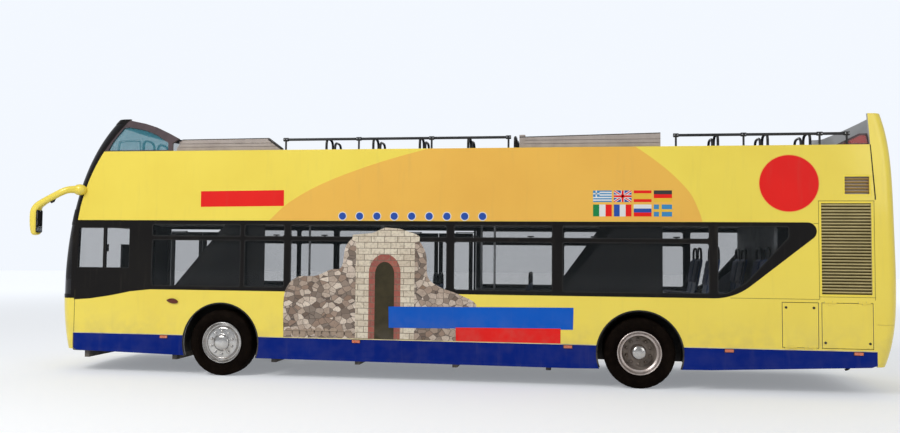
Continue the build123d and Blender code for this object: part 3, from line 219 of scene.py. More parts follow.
def glass(name, color, alpha, rough=0.04, other=None, letter="Z", edge=0.0, border=None):
    """Tinted glass with a film of dust; past an edge it may have another tint, and a black border."""
    t = Tree(name)
    film = t.ramp(t.noise(3.0, 6.0, (1.0, 1.0, 0.5)), 0.45, 0.9, 0.08)
    if other:
        past = t.calc("GREATER_THAN", t.axis(letter), edge)
        color = t.mix(past, color, other[0])
        alpha = t.blend(past, alpha, other[1])
    if border:
        outside = t.calc("GREATER_THAN", t.calc("ABSOLUTE", t.axis("Y")), border)
        color = t.mix(outside, color, (0.008, 0.008, 0.009))
        alpha = t.blend(outside, alpha, 1.0)
    return t.finish(t.mix(film, color, (0.30, 0.29, 0.27)), t.plus(rough, t.times(film, 0.4)),
                    t.noise(1.1, 1.0), 0.002, 0.2, Alpha=t.calc("ADD", alpha, t.times(film, 0.2), True),
                    IOR=1.5, Specular_IOR_Level=0.25, Coat_Weight=0.08, Coat_Roughness=0.02)


def lens(name, color, dust=0.35, coat=1.0):
    """Moulded lamp lens with ribs under a clear face, and painted shade in the rib grooves."""
    t = Tree(name)
    rib = t.calc("ABSOLUTE", t.calc("SINE", t.times(t.axis("Z"), 700.0)))
    # Painted shade: the colour falls to 0.45 of itself in the grooves between the ribs
    tone = t.mix(t.ramp(rib, 0.1, 0.9), tuple(c * 0.45 for c in color), color)
    tone, low = road_dirt(t, tone, dust)
    return t.finish(tone, t.plus(0.12, t.times(low, 0.5)), rib, 0.0012, 0.6, Coat_Weight=coat,
                    Coat_Roughness=0.04, Specular_IOR_Level=0.1 + 0.4 * coat, Subsurface_Weight=0.15 * coat)


def rubber(name, axle):
    """Tyre rubber: brown-black, dusty on its sides and in its tread."""
    t = Tree(name)
    tone = t.mottle(12.0, 6.0, 0.35, 0.75, (0.003, 0.0018, 0.0012), (0.006, 0.0035, 0.0025))
    dx = t.calc("SUBTRACT", t.axis("X"), axle)
    dz = t.calc("SUBTRACT", t.axis("Z"), TYRE_R)
    r = t.calc("SQRT", t.plus(t.times(dx, dx), t.times(dz, dz)))
    dust = t.times(t.ramp(r, 0.30, 0.44), t.ramp(t.noise(4.0, 8.0), 0.35, 0.75, 0.14))
    ring = t.calc("ABSOLUTE", t.calc("SINE", t.times(r, 900.0)))
    grain = t.plus(t.times(ring, 0.3), t.noise(160.0, 3.0))
    return t.finish(t.mix(dust, tone, (0.040, 0.027, 0.019)), t.plus(0.78, t.times(dust, 0.3)), grain, 0.0009,
                    0.5, Specular_IOR_Level=0.03)


def grille_material():
    """Grille paint: yellow frames, pale slats with painted shade into the gaps, the upper grille browner."""
    t = Tree("grille_slat_paint")
    upper = t.ramp(t.axis("Z"), 2.55, 2.58)
    tone = t.mottle(5.0, 4.0, 0.3, 0.75, (0.74, 0.63, 0.31), (0.64, 0.54, 0.26))
    tone = t.mix(upper, tone, (0.50, 0.33, 0.11))
    depth = t.calc("SUBTRACT", HALF, t.axis("Y"))
    # Painted shade: the slats darken with depth behind the side into the gaps, browner in the upper grille
    painted_gap_shade = t.mix(upper, (0.075, 0.055, 0.015), (0.36, 0.24, 0.08))
    tone = t.mix(t.ramp(depth, 0.021, 0.036, 0.9), tone, painted_gap_shade)
    tone = t.mix(t.ramp(t.noise(30.0, 5.0, (3.0, 1.0, 1.0)), 0.55, 0.85, 0.4), tone, RAIN_DIRT)
    tone = t.mix(t.calc("LESS_THAN", depth, 0.004), tone, YELLOW)
    rough = t.plus(0.42, t.ramp(t.noise(12.0, 5.0), 0.4, 0.8, 0.25))
    return t.finish(tone, rough, t.noise(90.0, 3.0), 0.0005, 0.4, Specular_IOR_Level=0.25)


def seat_material():
    """Moulded seat shells: blue plastic, paler where the sun and coats have worn it."""
    t = Tree("blue_seat_shell")
    tone = t.mottle(7.0, 5.0, 0.35, 0.7, (0.030, 0.075, 0.22), (0.022, 0.055, 0.17))
    tone = t.mottle(1.3, 3.0, 0.4, 0.8, tone, (0.10, 0.15, 0.27), 0.35)
    scuff = t.ramp(t.noise(35.0, 5.0, (1.0, 3.0, 1.0)), 0.62, 0.8, 0.3)
    tone = t.mix(scuff, tone, (0.16, 0.20, 0.30))
    return t.finish(tone, t.plus(0.42, scuff), t.cells(150.0), 0.0006, 0.5)


def moquette_material():
    """Woven seat cloth: blue ground with small staggered flecks and a fine weave."""
    t = Tree("blue_moquette")
    warp = t.calc("SINE", t.times(t.axis("Y"), 2100.0))
    weft = t.calc("SINE", t.times(t.plus(t.axis("X"), t.axis("Z")), 1900.0))
    weave = t.times(warp, weft)
    ground = t.mottle(6.0, 4.0, 0.35, 0.7, (0.020, 0.045, 0.15), (0.014, 0.030, 0.10))
    fleck = t.ramp(t.cells(34.0), 0.20, 0.14)
    tone = t.mix(t.ramp(weave, 0.0, 0.9, 0.35), t.mix(fleck, ground, (0.30, 0.20, 0.05)), (0.05, 0.07, 0.16))
    return t.finish(tone, t.blend(fleck, 0.85, 0.7), weave, 0.0007, 0.6, Sheen_Weight=0.35,
                    Specular_IOR_Level=0.2)


DOOR_Y = -1.241
DOOR_LOW, DOOR_HIGH = 0.4825, 2.0795
DOOR_FRAME = 0.054


def door_material(x_low, x_high):
    """Door leaf: black frame, tinted glass in the thin middle of the leaf."""
    t = Tree("door_leaf_black")
    tone = t.mottle(8.0, 5.0, 0.35, 0.7, (0.012, 0.012, 0.013), (0.022, 0.022, 0.022))
    tone, low = road_dirt(t, tone, 0.5)
    pane = t.calc("LESS_THAN", t.calc("ABSOLUTE", t.calc("SUBTRACT", t.axis("Y"), DOOR_Y)), 0.0055)
    for letter, start, end in (("X", x_low, x_high), ("Z", DOOR_LOW, DOOR_HIGH)):
        pane = t.times(pane, t.calc("GREATER_THAN", t.axis(letter), start))
        pane = t.times(pane, t.calc("LESS_THAN", t.axis(letter), end))
    t.set(Base_Color=t.mix(pane, tone, (0.02, 0.026, 0.028)), Alpha=t.blend(pane, 1.0, 0.2), Coat_Weight=0.2,
          Roughness=t.blend(pane, t.plus(0.3, t.times(low, 0.4)), 0.04), Coat_Roughness=0.03)
    return t.material


YELLOW = (0.88, 0.70, 0.085)
YELLOW_SHADE = (0.83, 0.64, 0.07)
LINING = (0.42, 0.42, 0.42)

MATERIALS = {
    "yellow": paint("yellow_coach_paint", YELLOW, YELLOW_SHADE, lining=LINING),
    "yellow_plain": paint("yellow_moulding_paint", YELLOW, YELLOW_SHADE, 0.32),
    "blue": paint("blue_skirt_paint", (0.001, 0.017, 0.20), (0.001, 0.013, 0.165), 0.42, 0.05, LINING,
                  0.0, 0.06),
    "orange": paint("orange_sweep_paint", (0.85, 0.48, 0.070), (0.80, 0.43, 0.060)),
    "red": sign("red_sign_paint", (0.80, 0.014, 0.010), (0.72, 0.012, 0.010), 0.18),
    "banner": sign("blue_banner_paint", (0.0, 0.10, 0.52), (0.0, 0.085, 0.47), 0.18),
    "white": paint("white_sign_paint", (0.75, 0.75, 0.72), (0.68, 0.68, 0.66)),
    "pale_line": paint("pale_trim_line", (0.80, 0.70, 0.34), (0.72, 0.62, 0.28), dust=0.8),
    "flag_blue": sign("flag_blue_paint", (0.02, 0.08, 0.38), (0.02, 0.07, 0.33)),
    "flag_sky": sign("flag_sky_paint", (0.05, 0.25, 0.50), (0.04, 0.22, 0.45)),
    "flag_green": sign("flag_green_paint", (0.01, 0.22, 0.06), (0.01, 0.19, 0.05)),
    "flag_gold": paint("flag_gold_paint", (0.82, 0.50, 0.03), (0.75, 0.45, 0.03)),
    "flag_black": paint("flag_black_paint", (0.02, 0.02, 0.02), (0.03, 0.03, 0.03)),
    "black": paint("black_band_lacquer", (0.006, 0.005, 0.005), (0.010, 0.009, 0.008), 0.34, 0.2,
                   (0.03, 0.03, 0.032), 0.0, 0.12),
    "side_glass": glass("side_window_glass", (0.010, 0.014, 0.016), 0.22),
    "front_glass": glass("windscreen_glass", (0.03, 0.055, 0.06), 0.16, other=((0.05, 0.20, 0.25), 0.34),
                         edge=2.3, border=1.06),
    "wing_glass": glass("wing_glass", (0.42, 0.04, 0.035), 0.60, other=((0.07, 0.27, 0.34), 0.40),
                        letter="X"),
    "frame_steel": metal("painted_chassis_steel", (0.030, 0.030, 0.032), (0.055, 0.042, 0.032), 0.55,
                         dust=0.8, top=1.4, metallic=0.3),
    "engine_iron": metal("cast_engine_iron", (0.11, 0.11, 0.11), (0.06, 0.05, 0.04), 0.6, dust=0.7, top=2.0,
                         metallic=0.6),
    "floor": plastic("ribbed_floor_sheet", (0.16, 0.165, 0.175), (0.11, 0.11, 0.115), 0.6, 90.0, 0.0012),
    "stair": plastic("dark_stair_panel", (0.008, 0.008, 0.009), (0.014, 0.013, 0.013), 0.6, 240.0, 0.0002),
    "guard": plastic("beige_guard_panel", (0.40, 0.345, 0.31), (0.33, 0.28, 0.25), 0.5, 120.0, 0.0005),
    "steel_rail": metal("brushed_grab_steel", (0.62, 0.62, 0.63), (0.45, 0.45, 0.46), 0.25, (1.0, 1.0, 8.0)),
    "black_rail": plastic("black_coated_rail", (0.016, 0.016, 0.018), (0.03, 0.029, 0.028), 0.38, 260.0,
                          0.0003),
    "wing_brown": plastic("brown_wing_rim", (0.085, 0.058, 0.062), (0.06, 0.042, 0.045), 0.4, 240.0, 0.0003),
    "grille": grille_material(),
    "amber": lens("orange_marker_lens", (0.80, 0.13, 0.02)),
    "brown_lens": lens("brown_side_lens", (0.13, 0.018, 0.004), 0.04, 0.1),
    "red_lens": lens("red_tail_lens", (0.55, 0.012, 0.010)),
    "clear_lens": glass("clear_lamp_cover", (0.75, 0.78, 0.80), 0.35, 0.02),
    "rubber_f": rubber("front_tyre_rubber", AXLE_F),
    "rubber_r": rubber("rear_tyre_rubber", AXLE_R),
    "chrome": metal("bright_wheel_trim", (0.56, 0.55, 0.54), (0.36, 0.34, 0.32), 0.13, dust=0.3, top=0.9),
    "satin_ring": metal("satin_wheel_ring", (0.56, 0.49, 0.46), (0.40, 0.33, 0.30), 0.34, dust=0.5),
    "dusty_rim": metal("dusty_wheel_disc", (0.30, 0.25, 0.22), (0.20, 0.16, 0.13), 0.5, dust=0.6, top=1.2,
                       metallic=0.55),
    "rim_steel": metal("silver_rim_steel", (0.55, 0.53, 0.52), (0.36, 0.33, 0.31), 0.32, dust=0.5),
    "dash": plastic("grained_dash_plastic", (0.030, 0.030, 0.033), (0.020, 0.020, 0.022), 0.6, 300.0, 0.0002),
    "seal": plastic("black_rubber_seal", (0.012, 0.012, 0.012), (0.02, 0.019, 0.018), 0.7, 200.0, 0.0004),
    "mirror": metal("mirror_glass", (0.70, 0.72, 0.74), (0.66, 0.68, 0.70), 0.03, dust=0.1),
    "gauze": plastic("brown_grille_gauze", (0.11, 0.080, 0.028), (0.080, 0.058, 0.020), 0.8, 400.0, 0.0004),
    "seam": plastic("dark_panel_gap", (0.030, 0.024, 0.010), (0.045, 0.035, 0.015), 0.8, 200.0, 0.0002),
    "seat_shell": seat_material(),
    "moquette": moquette_material(),
}

NODE_LOOKS = {
    "yellow": "front_bumper front_panel rear_bumper rear_wall engine_lid side_panels upper_panels fuel_flap "
              "filter_flap",
    "blue": "skirts", "black": "windscreen_frame window_frames", "grille": "louvres",
    "red_lens": "tail_lamps",
    "frame_steel": "chassis_frame front_axle rear_axle knuckle_left knuckle_right",
    "engine_iron": "engine_block", "floor": "lower_floor upper_floor", "stair": "wheelhouses stairs",
    "guard": "stairwell_boxes", "dash": "driver_seat dashboard cab_partition", "steel_rail": "grab_poles",
    "black_rail": "handrails", "wing_brown": "wing_frames", "wing_glass": "wing_windows",
    "side_glass": "side_windows", "front_glass": "windscreens", "yellow_plain": "mirrors",
    "amber": "marker_lamps", "clear_lens": "headlamps", "seal": "wipers",
    "rim_steel": "front_rim_left front_rim_right", "dusty_rim": "rear_rims_left rear_rims_right",
    "rubber_f": "front_tyre_left front_tyre_right", "rubber_r": "rear_tyres_left rear_tyres_right",
}


def dress_nodes():
    """One material on every face of each CAD node."""
    looks = {name: MATERIALS[key] for key, names in NODE_LOOKS.items() for name in names.split()}
    for name, node in NODES.items():
        if "_leaf_" in name:
            low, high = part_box(name)
            looks[name] = door_material(low.x + DOOR_FRAME, high.x - DOOR_FRAME)
        elif "_arms_" in name:
            looks[name] = MATERIALS["black_rail"]
        elif name.endswith("_seats"):
            looks[name] = MATERIALS["seat_shell"]
        node.data.materials.clear()
        node.data.materials.append(looks[name])


dress_nodes()


# Mesh building

def circle(steps, start=0.0):
    """Points round a unit circle."""
    angles = [2 * pi * (k + start) / steps for k in range(steps)]
    return [(cos(a), sin(a)) for a in angles]


def arc(start, end, steps):
    """Points of a unit circle from one angle to another, in degrees."""
    angles = [radians(start + (end - start) * k / steps) for k in range(steps + 1)]
    return [(cos(a), sin(a)) for a in angles]


def eased(value, power):
    """A power that keeps the sign."""
    return copysign(abs(value) ** power, value)


def basis(direction):
    """A direction and two across it."""
    w = Vector(direction).normalized()
    u = w.orthogonal().normalized()
    return w, u, w.cross(u)


class Piece:
    """Collects shapes into one mesh object."""

    def __init__(self):
        self.verts = []
        self.faces = []

    def skin(self, rows, closed=False, ends=False):
        """Faces between rows that have as many points, each row a loop."""
        base = len(self.verts)
        n = len(rows[0])
        last = len(rows) - 1
        self.verts += [tuple(point) for row in rows for point in row]
        if ends:
            foot = base + last * n
            self.faces += [list(range(base + n - 1, base - 1, -1)), list(range(foot, foot + n))]
        for i in range(last + closed):
            a = base + i * n
            b = base + (i + 1) % (last + 1) * n
            self.faces += [[a + k, a + (k + 1) % n, b + (k + 1) % n, b + k] for k in range(n)]
        return self

    def prism(self, outline, y0, y1):
        """A flat outline in stations and heights, between two distances from the middle."""
        return self.skin([[(at(s), y, z) for s, z in outline] for y in (y0, y1)], ends=True)

    def box(self, low, high):
        corners = ((low[0], low[1]), (high[0], low[1]), (high[0], high[1]), (low[0], high[1]))
        return self.skin([[(x, y, z) for x, y in corners] for z in (low[2], high[2])], ends=True)

    def lathe(self, profile, centre, direction, steps, wave=None):
        """A closed profile of (radius, offset) pairs turned about a direction."""
        w, u, v = basis(direction)
        rows = []
        for k, (c, s) in enumerate(circle(steps)):
            rows.append([Vector(centre) + w * off + (u * c + v * s) * (r - (wave(i, k) if wave else 0.0))
                         for i, (r, off) in enumerate(profile)])
        return self.skin(rows, closed=True)

    def cap(self, profile, centre, direction, steps):
        """A domed cap: (radius, height) pairs from its foot to its top, round a direction."""
        w, u, v = basis(direction)
        centre = Vector(centre)
        base = len(self.verts)
        self.skin([[centre + w * h + (u * c + v * s) * r for c, s in circle(steps)] for r, h in profile[:-1]])
        top = len(self.verts)
        self.verts.append(tuple(centre + w * profile[-1][1]))
        self.faces.append(list(range(base + steps - 1, base - 1, -1)))
        self.faces += [[top - steps + k, top - steps + (k + 1) % steps, top] for k in range(steps)]
        return self

    def screw(self, centre, direction, radius, height, top, rise, steps=6):
        """A screw head: its rim, and a smaller top that rises over it."""
        profile = [(radius, 0.0), (radius, height), (top, rise), (0.0, rise + 0.0005)]
        return self.cap(profile, centre, direction, steps)

    def tube(self, points, radius, steps):
        """A round bar along points."""
        points = [Vector(p) for p in points]
        rows = []
        for before, p, after in zip(points[:1] + points, points, points[1:] + points[-1:]):
            ahead = (after - before).normalized()
            u = ahead.cross(Vector((0.0, 0.0, 1.0)))
            if u.length < 0.05:
                u = ahead.cross(Vector((0.0, 1.0, 0.0)))
            u.normalize()
            v = u.cross(ahead)
            rows.append([p + u * (radius * c) + v * (radius * s) for c, s in circle(steps)])
        return self.skin(rows, ends=True)

    def sweep(self, points, halves, across, steps, closed=False):
        """A bar whose section is set at each point: half size along a direction, half size square to it, and
        how square its corners are (2 is an oval)."""
        points = [Vector(p) for p in points]
        befores = (points[-1:] if closed else points[:1]) + points
        afters = points[1:] + (points[:1] if closed else points[-1:])
        rows = []
        for before, p, after, (a, b, power) in zip(befores, points, afters, halves):
            ahead = (after - before).normalized()
            v = ahead.cross(Vector(across)).normalized()
            u = v.cross(ahead)
            rows.append([p + u * (a * eased(c, 2 / power)) + v * (b * eased(s, 2 / power))
                         for c, s in circle(steps)])
        return self.skin(rows, closed, not closed)

    def moulding(self, place, over, under, half, dish, columns=11, ends=False):
        """A moulded form between two side lines of reaches and heights, at a station, distance from the
        middle and floor: round along its sides, and dished (or crowned, below 0) across its width."""
        station, y, floor = place
        n = len(over)
        rows = []
        for j in range(columns):
            t = -cos(pi * j / (columns - 1))
            full = max(0.1, (1 - abs(t) ** 8) ** 0.4)
            tops = []
            lows = []
            for i, (p, q) in enumerate(zip(over, under)):
                fade = max(0.0, 1 - (2 * i / (n - 1) - 1) ** 8) ** 0.5
                middle = (Vector(p) + Vector(q)) / 2
                arm = (Vector(p) - Vector(q)) / 2
                sink = arm.normalized() * dish * (1 - t * t) * fade
                arm = arm * full * (max(0.06, fade) if ends else 1.0)
                tops.append(middle + arm - sink)
                lows.append(middle - arm - sink)
            rows.append([(at(station + r), y + t * half, floor + z) for r, z in tops + lows[::-1]])
        self.skin(rows)
        m = 2 * n
        end = len(self.verts)
        for a in (end - columns * m, end - m):
            self.faces += [[a + i, a + i + 1, a + m - 2 - i, a + m - 1 - i] for i in range(n - 1)]
        return self

    def ring(self, outer, inner, y0, y1):
        """The band between two outlines that have as many points."""
        loops = ((outer, y0), (outer, y1), (inner, y1), (inner, y0))
        return self.skin([[(at(s), y, z) for s, z in outline] for outline, y in loops], closed=True)

    def done(self, name, material, body="bus", slot="black_trim", smooth=40.0, bevel=0.0):
        """The shapes as one object on its body; the slot is not used."""
        mesh = bpy.data.meshes.new(name)
        mesh.from_pydata(self.verts, [], self.faces)
        bm = bmesh.new()
        bm.from_mesh(mesh)
        bmesh.ops.recalc_face_normals(bm, faces=bm.faces)
        bm.to_mesh(mesh)
        bm.free()
        mesh.materials.append(MATERIALS.get(material, material))
        for polygon in mesh.polygons:
            polygon.use_smooth = True
        mesh.set_sharp_from_angle(angle=radians(smooth))
        piece = bpy.data.objects.new(name, mesh)
        bpy.context.scene.collection.objects.link(piece)
        if bevel:
            edge = piece.modifiers.new("soft_edges", "BEVEL")
            edge.width = bevel
            edge.segments = 2
            edge.limit_method = "ANGLE"
        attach(piece, body)
        return piece

    def both(self, name, material, **settings):
        """This piece on the left side and its mirror image on the right."""
        other = Piece()
        other.verts = [(x, -y, z) for x, y, z in self.verts]
        other.faces = [face[::-1] for face in self.faces]
        return self.done(f"{name}_l", material, **settings), other.done(f"{name}_r", material, **settings)


def oval(station, height, half_s, half_z, steps, turn=0.0):
    """An ellipse as an outline in stations and heights."""
    c, s = cos(turn), sin(turn)
    points = [(half_s * a, half_z * b) for a, b in circle(steps)]
    return [(station + ds * c - dz * s, height + ds * s + dz * c) for ds, dz in points]


def oblong(s0, s1, z0, z1):
    return [(s0, z0), (s1, z0), (s1, z1), (s0, z1)]


def rounded(s0, s1, z0, z1, r):
    """A rectangle with round corners."""
    corners = ((s1 - r, z1 - r, 0), (s0 + r, z1 - r, 90), (s0 + r, z0 + r, 180), (s1 - r, z0 + r, 270))
    return [(s + r * c, z + r * d) for s, z, start in corners for c, d in arc(start, start + 90, 5)]


def soft_corners(outline, steps=10):
    """An outline of points with a corner radius each, with the corners as arcs."""
    points = []
    for i, (s, z, radius) in enumerate(outline):
        corner = Vector((s, z))
        before = (Vector(outline[i - 1][:2]) - corner).normalized()
        after = (Vector(outline[(i + 1) % len(outline)][:2]) - corner).normalized()
        half = before.angle(after) / 2
        reach = radius / tan(half)
        middle = corner + (before + after).normalized() * radius / sin(half)
        start = corner + before * reach - middle
        turn = start.angle_signed(corner + after * reach - middle)
        for k in range(steps + 1):
            a = -turn * k / steps
            points.append((middle.x + start.x * cos(a) - start.y * sin(a),
                           middle.y + start.x * sin(a) + start.y * cos(a)))
    return points


def smooth_line(points, steps=6):
    """A curve through points, as a list of points."""
    out = []
    ends = [points[0], *points, points[-1]]
    for a, b, c, d in zip(ends, ends[1:], ends[2:], ends[3:]):
        for k in range(steps):
            t = k / steps
            out.append(tuple(0.5 * (2 * q + (r - p) * t + (2 * p - 5 * q + 4 * r - s) * t * t
                                    + (3 * q - p - 3 * r + s) * t ** 3) for p, q, r, s in zip(a, b, c, d)))
    return out + [tuple(points[-1])]


SURFACES = {}


def hit(name, start, direction):
    """Where a line first meets a CAD node, and the outward direction there."""
    if name not in SURFACES:
        bm = bmesh.new()
        bm.from_mesh(NODES[name].data)
        SURFACES[name] = BVHTree.FromBMesh(bm)
        bm.free()
    place, normal, _, _ = SURFACES[name].ray_cast(Vector(start), Vector(direction))
    if place is None:
        raise ValueError(f"nothing of {name} on the line from {start}")
    return place, -normal if normal.dot(Vector(direction)) > 0 else normal


# Livery: thin sheets just proud of the side

FILM = 0.0005
SWEEP_LEFT = [(0.712, 2.262), (0.883, 2.427), (1.046, 2.55), (1.313, 2.705), (1.682, 2.87), (2.195, 3.052),
              (2.63, 3.18), (3.04, 3.286)]
SWEEP_RIGHT = [(5.905, 3.286), (6.139, 3.12), (6.4, 2.9), (6.625, 2.65), (6.739, 2.412), (6.785, 2.262)]


def film(name, outlines, material, level=1, slot="yellow_paint", sides=SIDES):
    """Thin coloured sheets on the side walls; level lifts one over another."""
    for side, mark in sides:
        piece = Piece()
        for outline in outlines:
            piece.prism(outline, side * (HALF + FILM * (level - 0.6)), side * (HALF + FILM * level))
        piece.done(f"{name}_{mark}", material, slot=slot, smooth=20.0)


def livery():
    """Orange sweep, stop dots, red disc and box, and the banners of the left side."""
    film("orange_sweep", [smooth_line(SWEEP_LEFT) + smooth_line(SWEEP_RIGHT)], "orange")
    stops = [(1.802 + 0.2517 * i, 2.327) for i in range(9)]
    disc = [(7.898, 2.777)]
    for name, spots, r, steps, color, level in (
            ("stop_dot_rims", stops, 0.063, 28, "white", 2), ("stop_dots", stops, 0.052, 28, "flag_blue", 3),
            ("red_disc_rim", disc, 0.386, 72, "orange", 1), ("red_disc", disc, 0.376, 72, "red", 2)):
        film(name, [oval(s, z, r, r, steps) for s, z in spots], color, level)
    film("red_box", [[(-0.345, 2.457), (0.926, 2.471), (0.924, 2.701), (-0.347, 2.687)]], "red")
    film("blue_banner", [[(2.499, 0.752), (5.068, 0.78), (5.075, 1.08), (2.492, 1.05)]], "banner", 6,
         sides=SIDES[:1])
    film("red_banner", [[(3.456, 0.589), (4.899, 0.589), (4.9, 0.792), (3.45, 0.776)]], "red", 7,
         sides=SIDES[:1])


def flags():
    """Eight national flags in two rows."""
    columns = ((5.336, 5.588), (5.616, 5.852), (5.882, 6.118), (6.148, 6.389))
    rows = ((2.528, 2.686), (2.331, 2.494))
    upper, lower = [[(a, b, z0, z1) for a, b in columns] for z0, z1 in rows]
    sheets = {}

    def put(color, level, *outlines):
        sheets.setdefault((color, level), []).extend(outlines)

    def bands(cell, colors, upright=False, shares=None):
        s0, s1, z0, z1 = cell
        done = 0.0
        for color, share in zip(colors, shares or [1.0 / len(colors)] * len(colors)):
            a, b = done, done + share
            done = b
            if upright:
                put(color, 2, oblong(s0 + (s1 - s0) * a, s0 + (s1 - s0) * b, z0, z1))
            else:
                put(color, 2, oblong(s0, s1, z1 - (z1 - z0) * b, z1 - (z1 - z0) * a))

    s0, s1, z0, z1 = upper[0]
    bands(upper[0], ["flag_sky", "white"] * 4 + ["flag_sky"])
    step = (z1 - z0) / 9
    put("flag_sky", 3, oblong(s0, s0 + 5 * step, z1 - 5 * step, z1))
    put("white", 4, oblong(s0 + 2 * step, s0 + 3 * step, z1 - 5 * step, z1),
        oblong(s0, s0 + 5 * step, z1 - 3 * step, z1 - 2 * step))
    s0, s1, z0, z1 = upper[1]
    w, h = s1 - s0, z1 - z0
    c, m = (s0 + s1) / 2, (z0 + z1) / 2
    put("flag_blue", 2, oblong(s0, s1, z0, z1))
    for color, part, level in (("white", 0.11, 3), ("red", 0.045, 4)):
        d, e = w * part, h * part * 1.4
        put(color, level, [(s0, z0), (s0 + d, z0), (s1, z1 - e), (s1, z1), (s1 - d, z1), (s0, z0 + e)],
            [(s1, z0), (s1, z0 + e), (s0 + d, z1), (s0, z1), (s0, z1 - e), (s1 - d, z0)])
    for color, part, level in (("white", 0.3, 5), ("red", 0.17, 6)):
        half = h * part / 2
        put(color, level, oblong(c - half, c + half, z0, z1), oblong(s0, s1, m - half, m + half))
    bands(upper[2], ["red", "flag_gold", "red"], shares=[0.25, 0.5, 0.25])
    bands(upper[3], ["flag_black", "red", "flag_gold"])
    bands(lower[0], ["flag_green", "white", "red"], True)
    bands(lower[1], ["flag_blue", "white", "red"], True)
    bands(lower[2], ["white", "flag_blue", "red"])
    s0, s1, z0, z1 = lower[3]
    c, m = s0 + (s1 - s0) * 0.36, (z0 + z1) / 2
    put("flag_sky", 2, oblong(s0, s1, z0, z1))
    put("flag_gold", 3, oblong(c - 0.018, c + 0.018, z0, z1))
    put("flag_gold", 4, oblong(s0, s1, m - 0.018, m + 0.018))
    for (color, level), outlines in sheets.items():
        film(f"flags_{color}_{level}", outlines, color, level)


# Tyres and wheels: profiles in (radius, distance outwards)

SIDEWALL = [(0.2965, 0.093), (0.3, 0.101), (0.306, 0.1045), (0.3115, 0.1035), (0.317, 0.109), (0.33, 0.1195),
            (0.344, 0.127), (0.3475, 0.13), (0.3535, 0.13), (0.357, 0.13), (0.372, 0.1345), (0.392, 0.1372),
            (0.412, 0.1365), (0.43, 0.1335), (0.446, 0.1285), (0.457, 0.123), (0.4655, 0.116), (0.471, 0.108)]
FRONT_TRIM = [(0.2965, 0.1045), (0.2962, 0.1095), (0.2915, 0.1125), (0.286, 0.111), (0.28, 0.101),
              (0.27, 0.08), (0.263, 0.062), (0.256, 0.0545), (0.246, 0.0545), (0.235, 0.064), (0.225, 0.082),
              (0.215, 0.0905), (0.2, 0.0935), (0.14, 0.0945), (0.126, 0.0965), (0.119, 0.1), (0.115, 0.108),
              (0.108, 0.12), (0.096, 0.129), (0.078, 0.135), (0.04, 0.1395), (0.001, 0.1405)]
REAR_TRIM = [(0.2965, 0.1045), (0.2962, 0.109), (0.2915, 0.1115), (0.285, 0.109), (0.276, 0.096),
             (0.264, 0.076), (0.252, 0.064), (0.24, 0.06), (0.234, 0.056), (0.232, 0.048)]
NUT = [(0.0225, 0.0), (0.0225, 0.004), (0.0195, 0.006), (0.018, 0.02), (0.0145, 0.028), (0.007, 0.032),
       (0.0, 0.033)]
HUB_DOME = [(0.1, 0.0), (0.1, 0.01), (0.0955, 0.022), (0.084, 0.034), (0.062, 0.043), (0.033, 0.048),
            (0.0, 0.0495)]
NUT_RING = 0.1675


def tyre_profile():
    """Closed outline of a tyre: sidewall rings, rounded shoulders and tread grooves."""
    tread = []
    for edge in (0.092, 0.062, 0.032, 0.002):
        tread += [(0.4762, edge), (0.4778, edge - 0.004), (0.4778, edge - 0.02)]
        if edge > 0.01:
            tread += [(0.4655, edge - 0.0215), (0.4655, edge - 0.0285)]
    outer = SIDEWALL + tread[:-3] + [(0.4778, 0.003)]
    return outer + [(r, -w) for r, w in outer[::-1]]


TYRE = tyre_profile()
SHOULDER = {i for i, (r, w) in enumerate(TYRE) if r > 0.4675 and abs(w) > 0.072}


def lugs(i, k):
    """Slots across the shoulders of the tread."""
    return 0.008 if i in SHOULDER and k % 5 == 0 else 0.0


def tyres():
    """Tyres of the front wheels and of the rear twins."""
    rows = (("tyre_front", "rubber_f", "wheel_front", "front_tyre", AXLE_F, (FRONT_TYRE_Y,)),
            ("tyres_rear", "rubber_r", "wheels_rear", "rear_tyres", AXLE_R,
             (TWIN_OUTER_Y, TWIN_OUTER_Y - TWIN_SPACING)))
    for side, name in WHEEL_SIDES:
        for label, look, body, node, x, places in rows:
            piece = Piece()
            for y in places:
                piece.lathe(TYRE, (x, side * y, TYRE_R), (0, side, 0), 150, lugs)
            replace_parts(piece.done(f"{label}_{name}", look, f"{body}_{name}", "tyre", 50.0), f"{node}_{name}")


def dish(face, x, y, side, thick=0.003):
    """A turned sheet trim from its outer line."""
    profile = face + [(r, off - thick) for r, off in face[::-1]]
    return Piece().lathe(profile, (x, side * y, TYRE_R), (0, side, 0), 96)


def nuts(piece, x, y, side, scale=1.0):
    """Ten nuts round a hub."""
    for c, s in circle(10, 0.5):
        centre = (x + NUT_RING * c, side * y, TYRE_R + NUT_RING * s)
        piece.cap([(r * scale, h * scale) for r, h in NUT], centre, (0, side, 0), 14)
    return piece


def wheels():
    """Trims, domes and nuts."""
    for side, name in WHEEL_SIDES:
        front = nuts(dish(FRONT_TRIM, AXLE_F, FRONT_TYRE_Y, side), AXLE_F, FRONT_TYRE_Y + 0.0935, side)
        front.done(f"wheel_trim_front_{name}", "chrome", f"wheel_front_{name}", "rim_steel")
        dome = Piece().cap(HUB_DOME, (AXLE_R, side * (TWIN_OUTER_Y + 0.022), TYRE_R), (0, side, 0), 40)
        rear = ((dish(REAR_TRIM, AXLE_R, TWIN_OUTER_Y, side), "wheel_trim_rear", "satin_ring"),
                (dome, "hub_dome_rear", "chrome"),
                (nuts(Piece(), AXLE_R, TWIN_OUTER_Y - 0.108, side, 1.1), "wheel_nuts_rear", "dusty_rim"))
        for piece, label, look in rear:
            piece.done(f"{label}_{name}", look, f"wheels_rear_{name}", "rim_steel")


# Trim along the sides

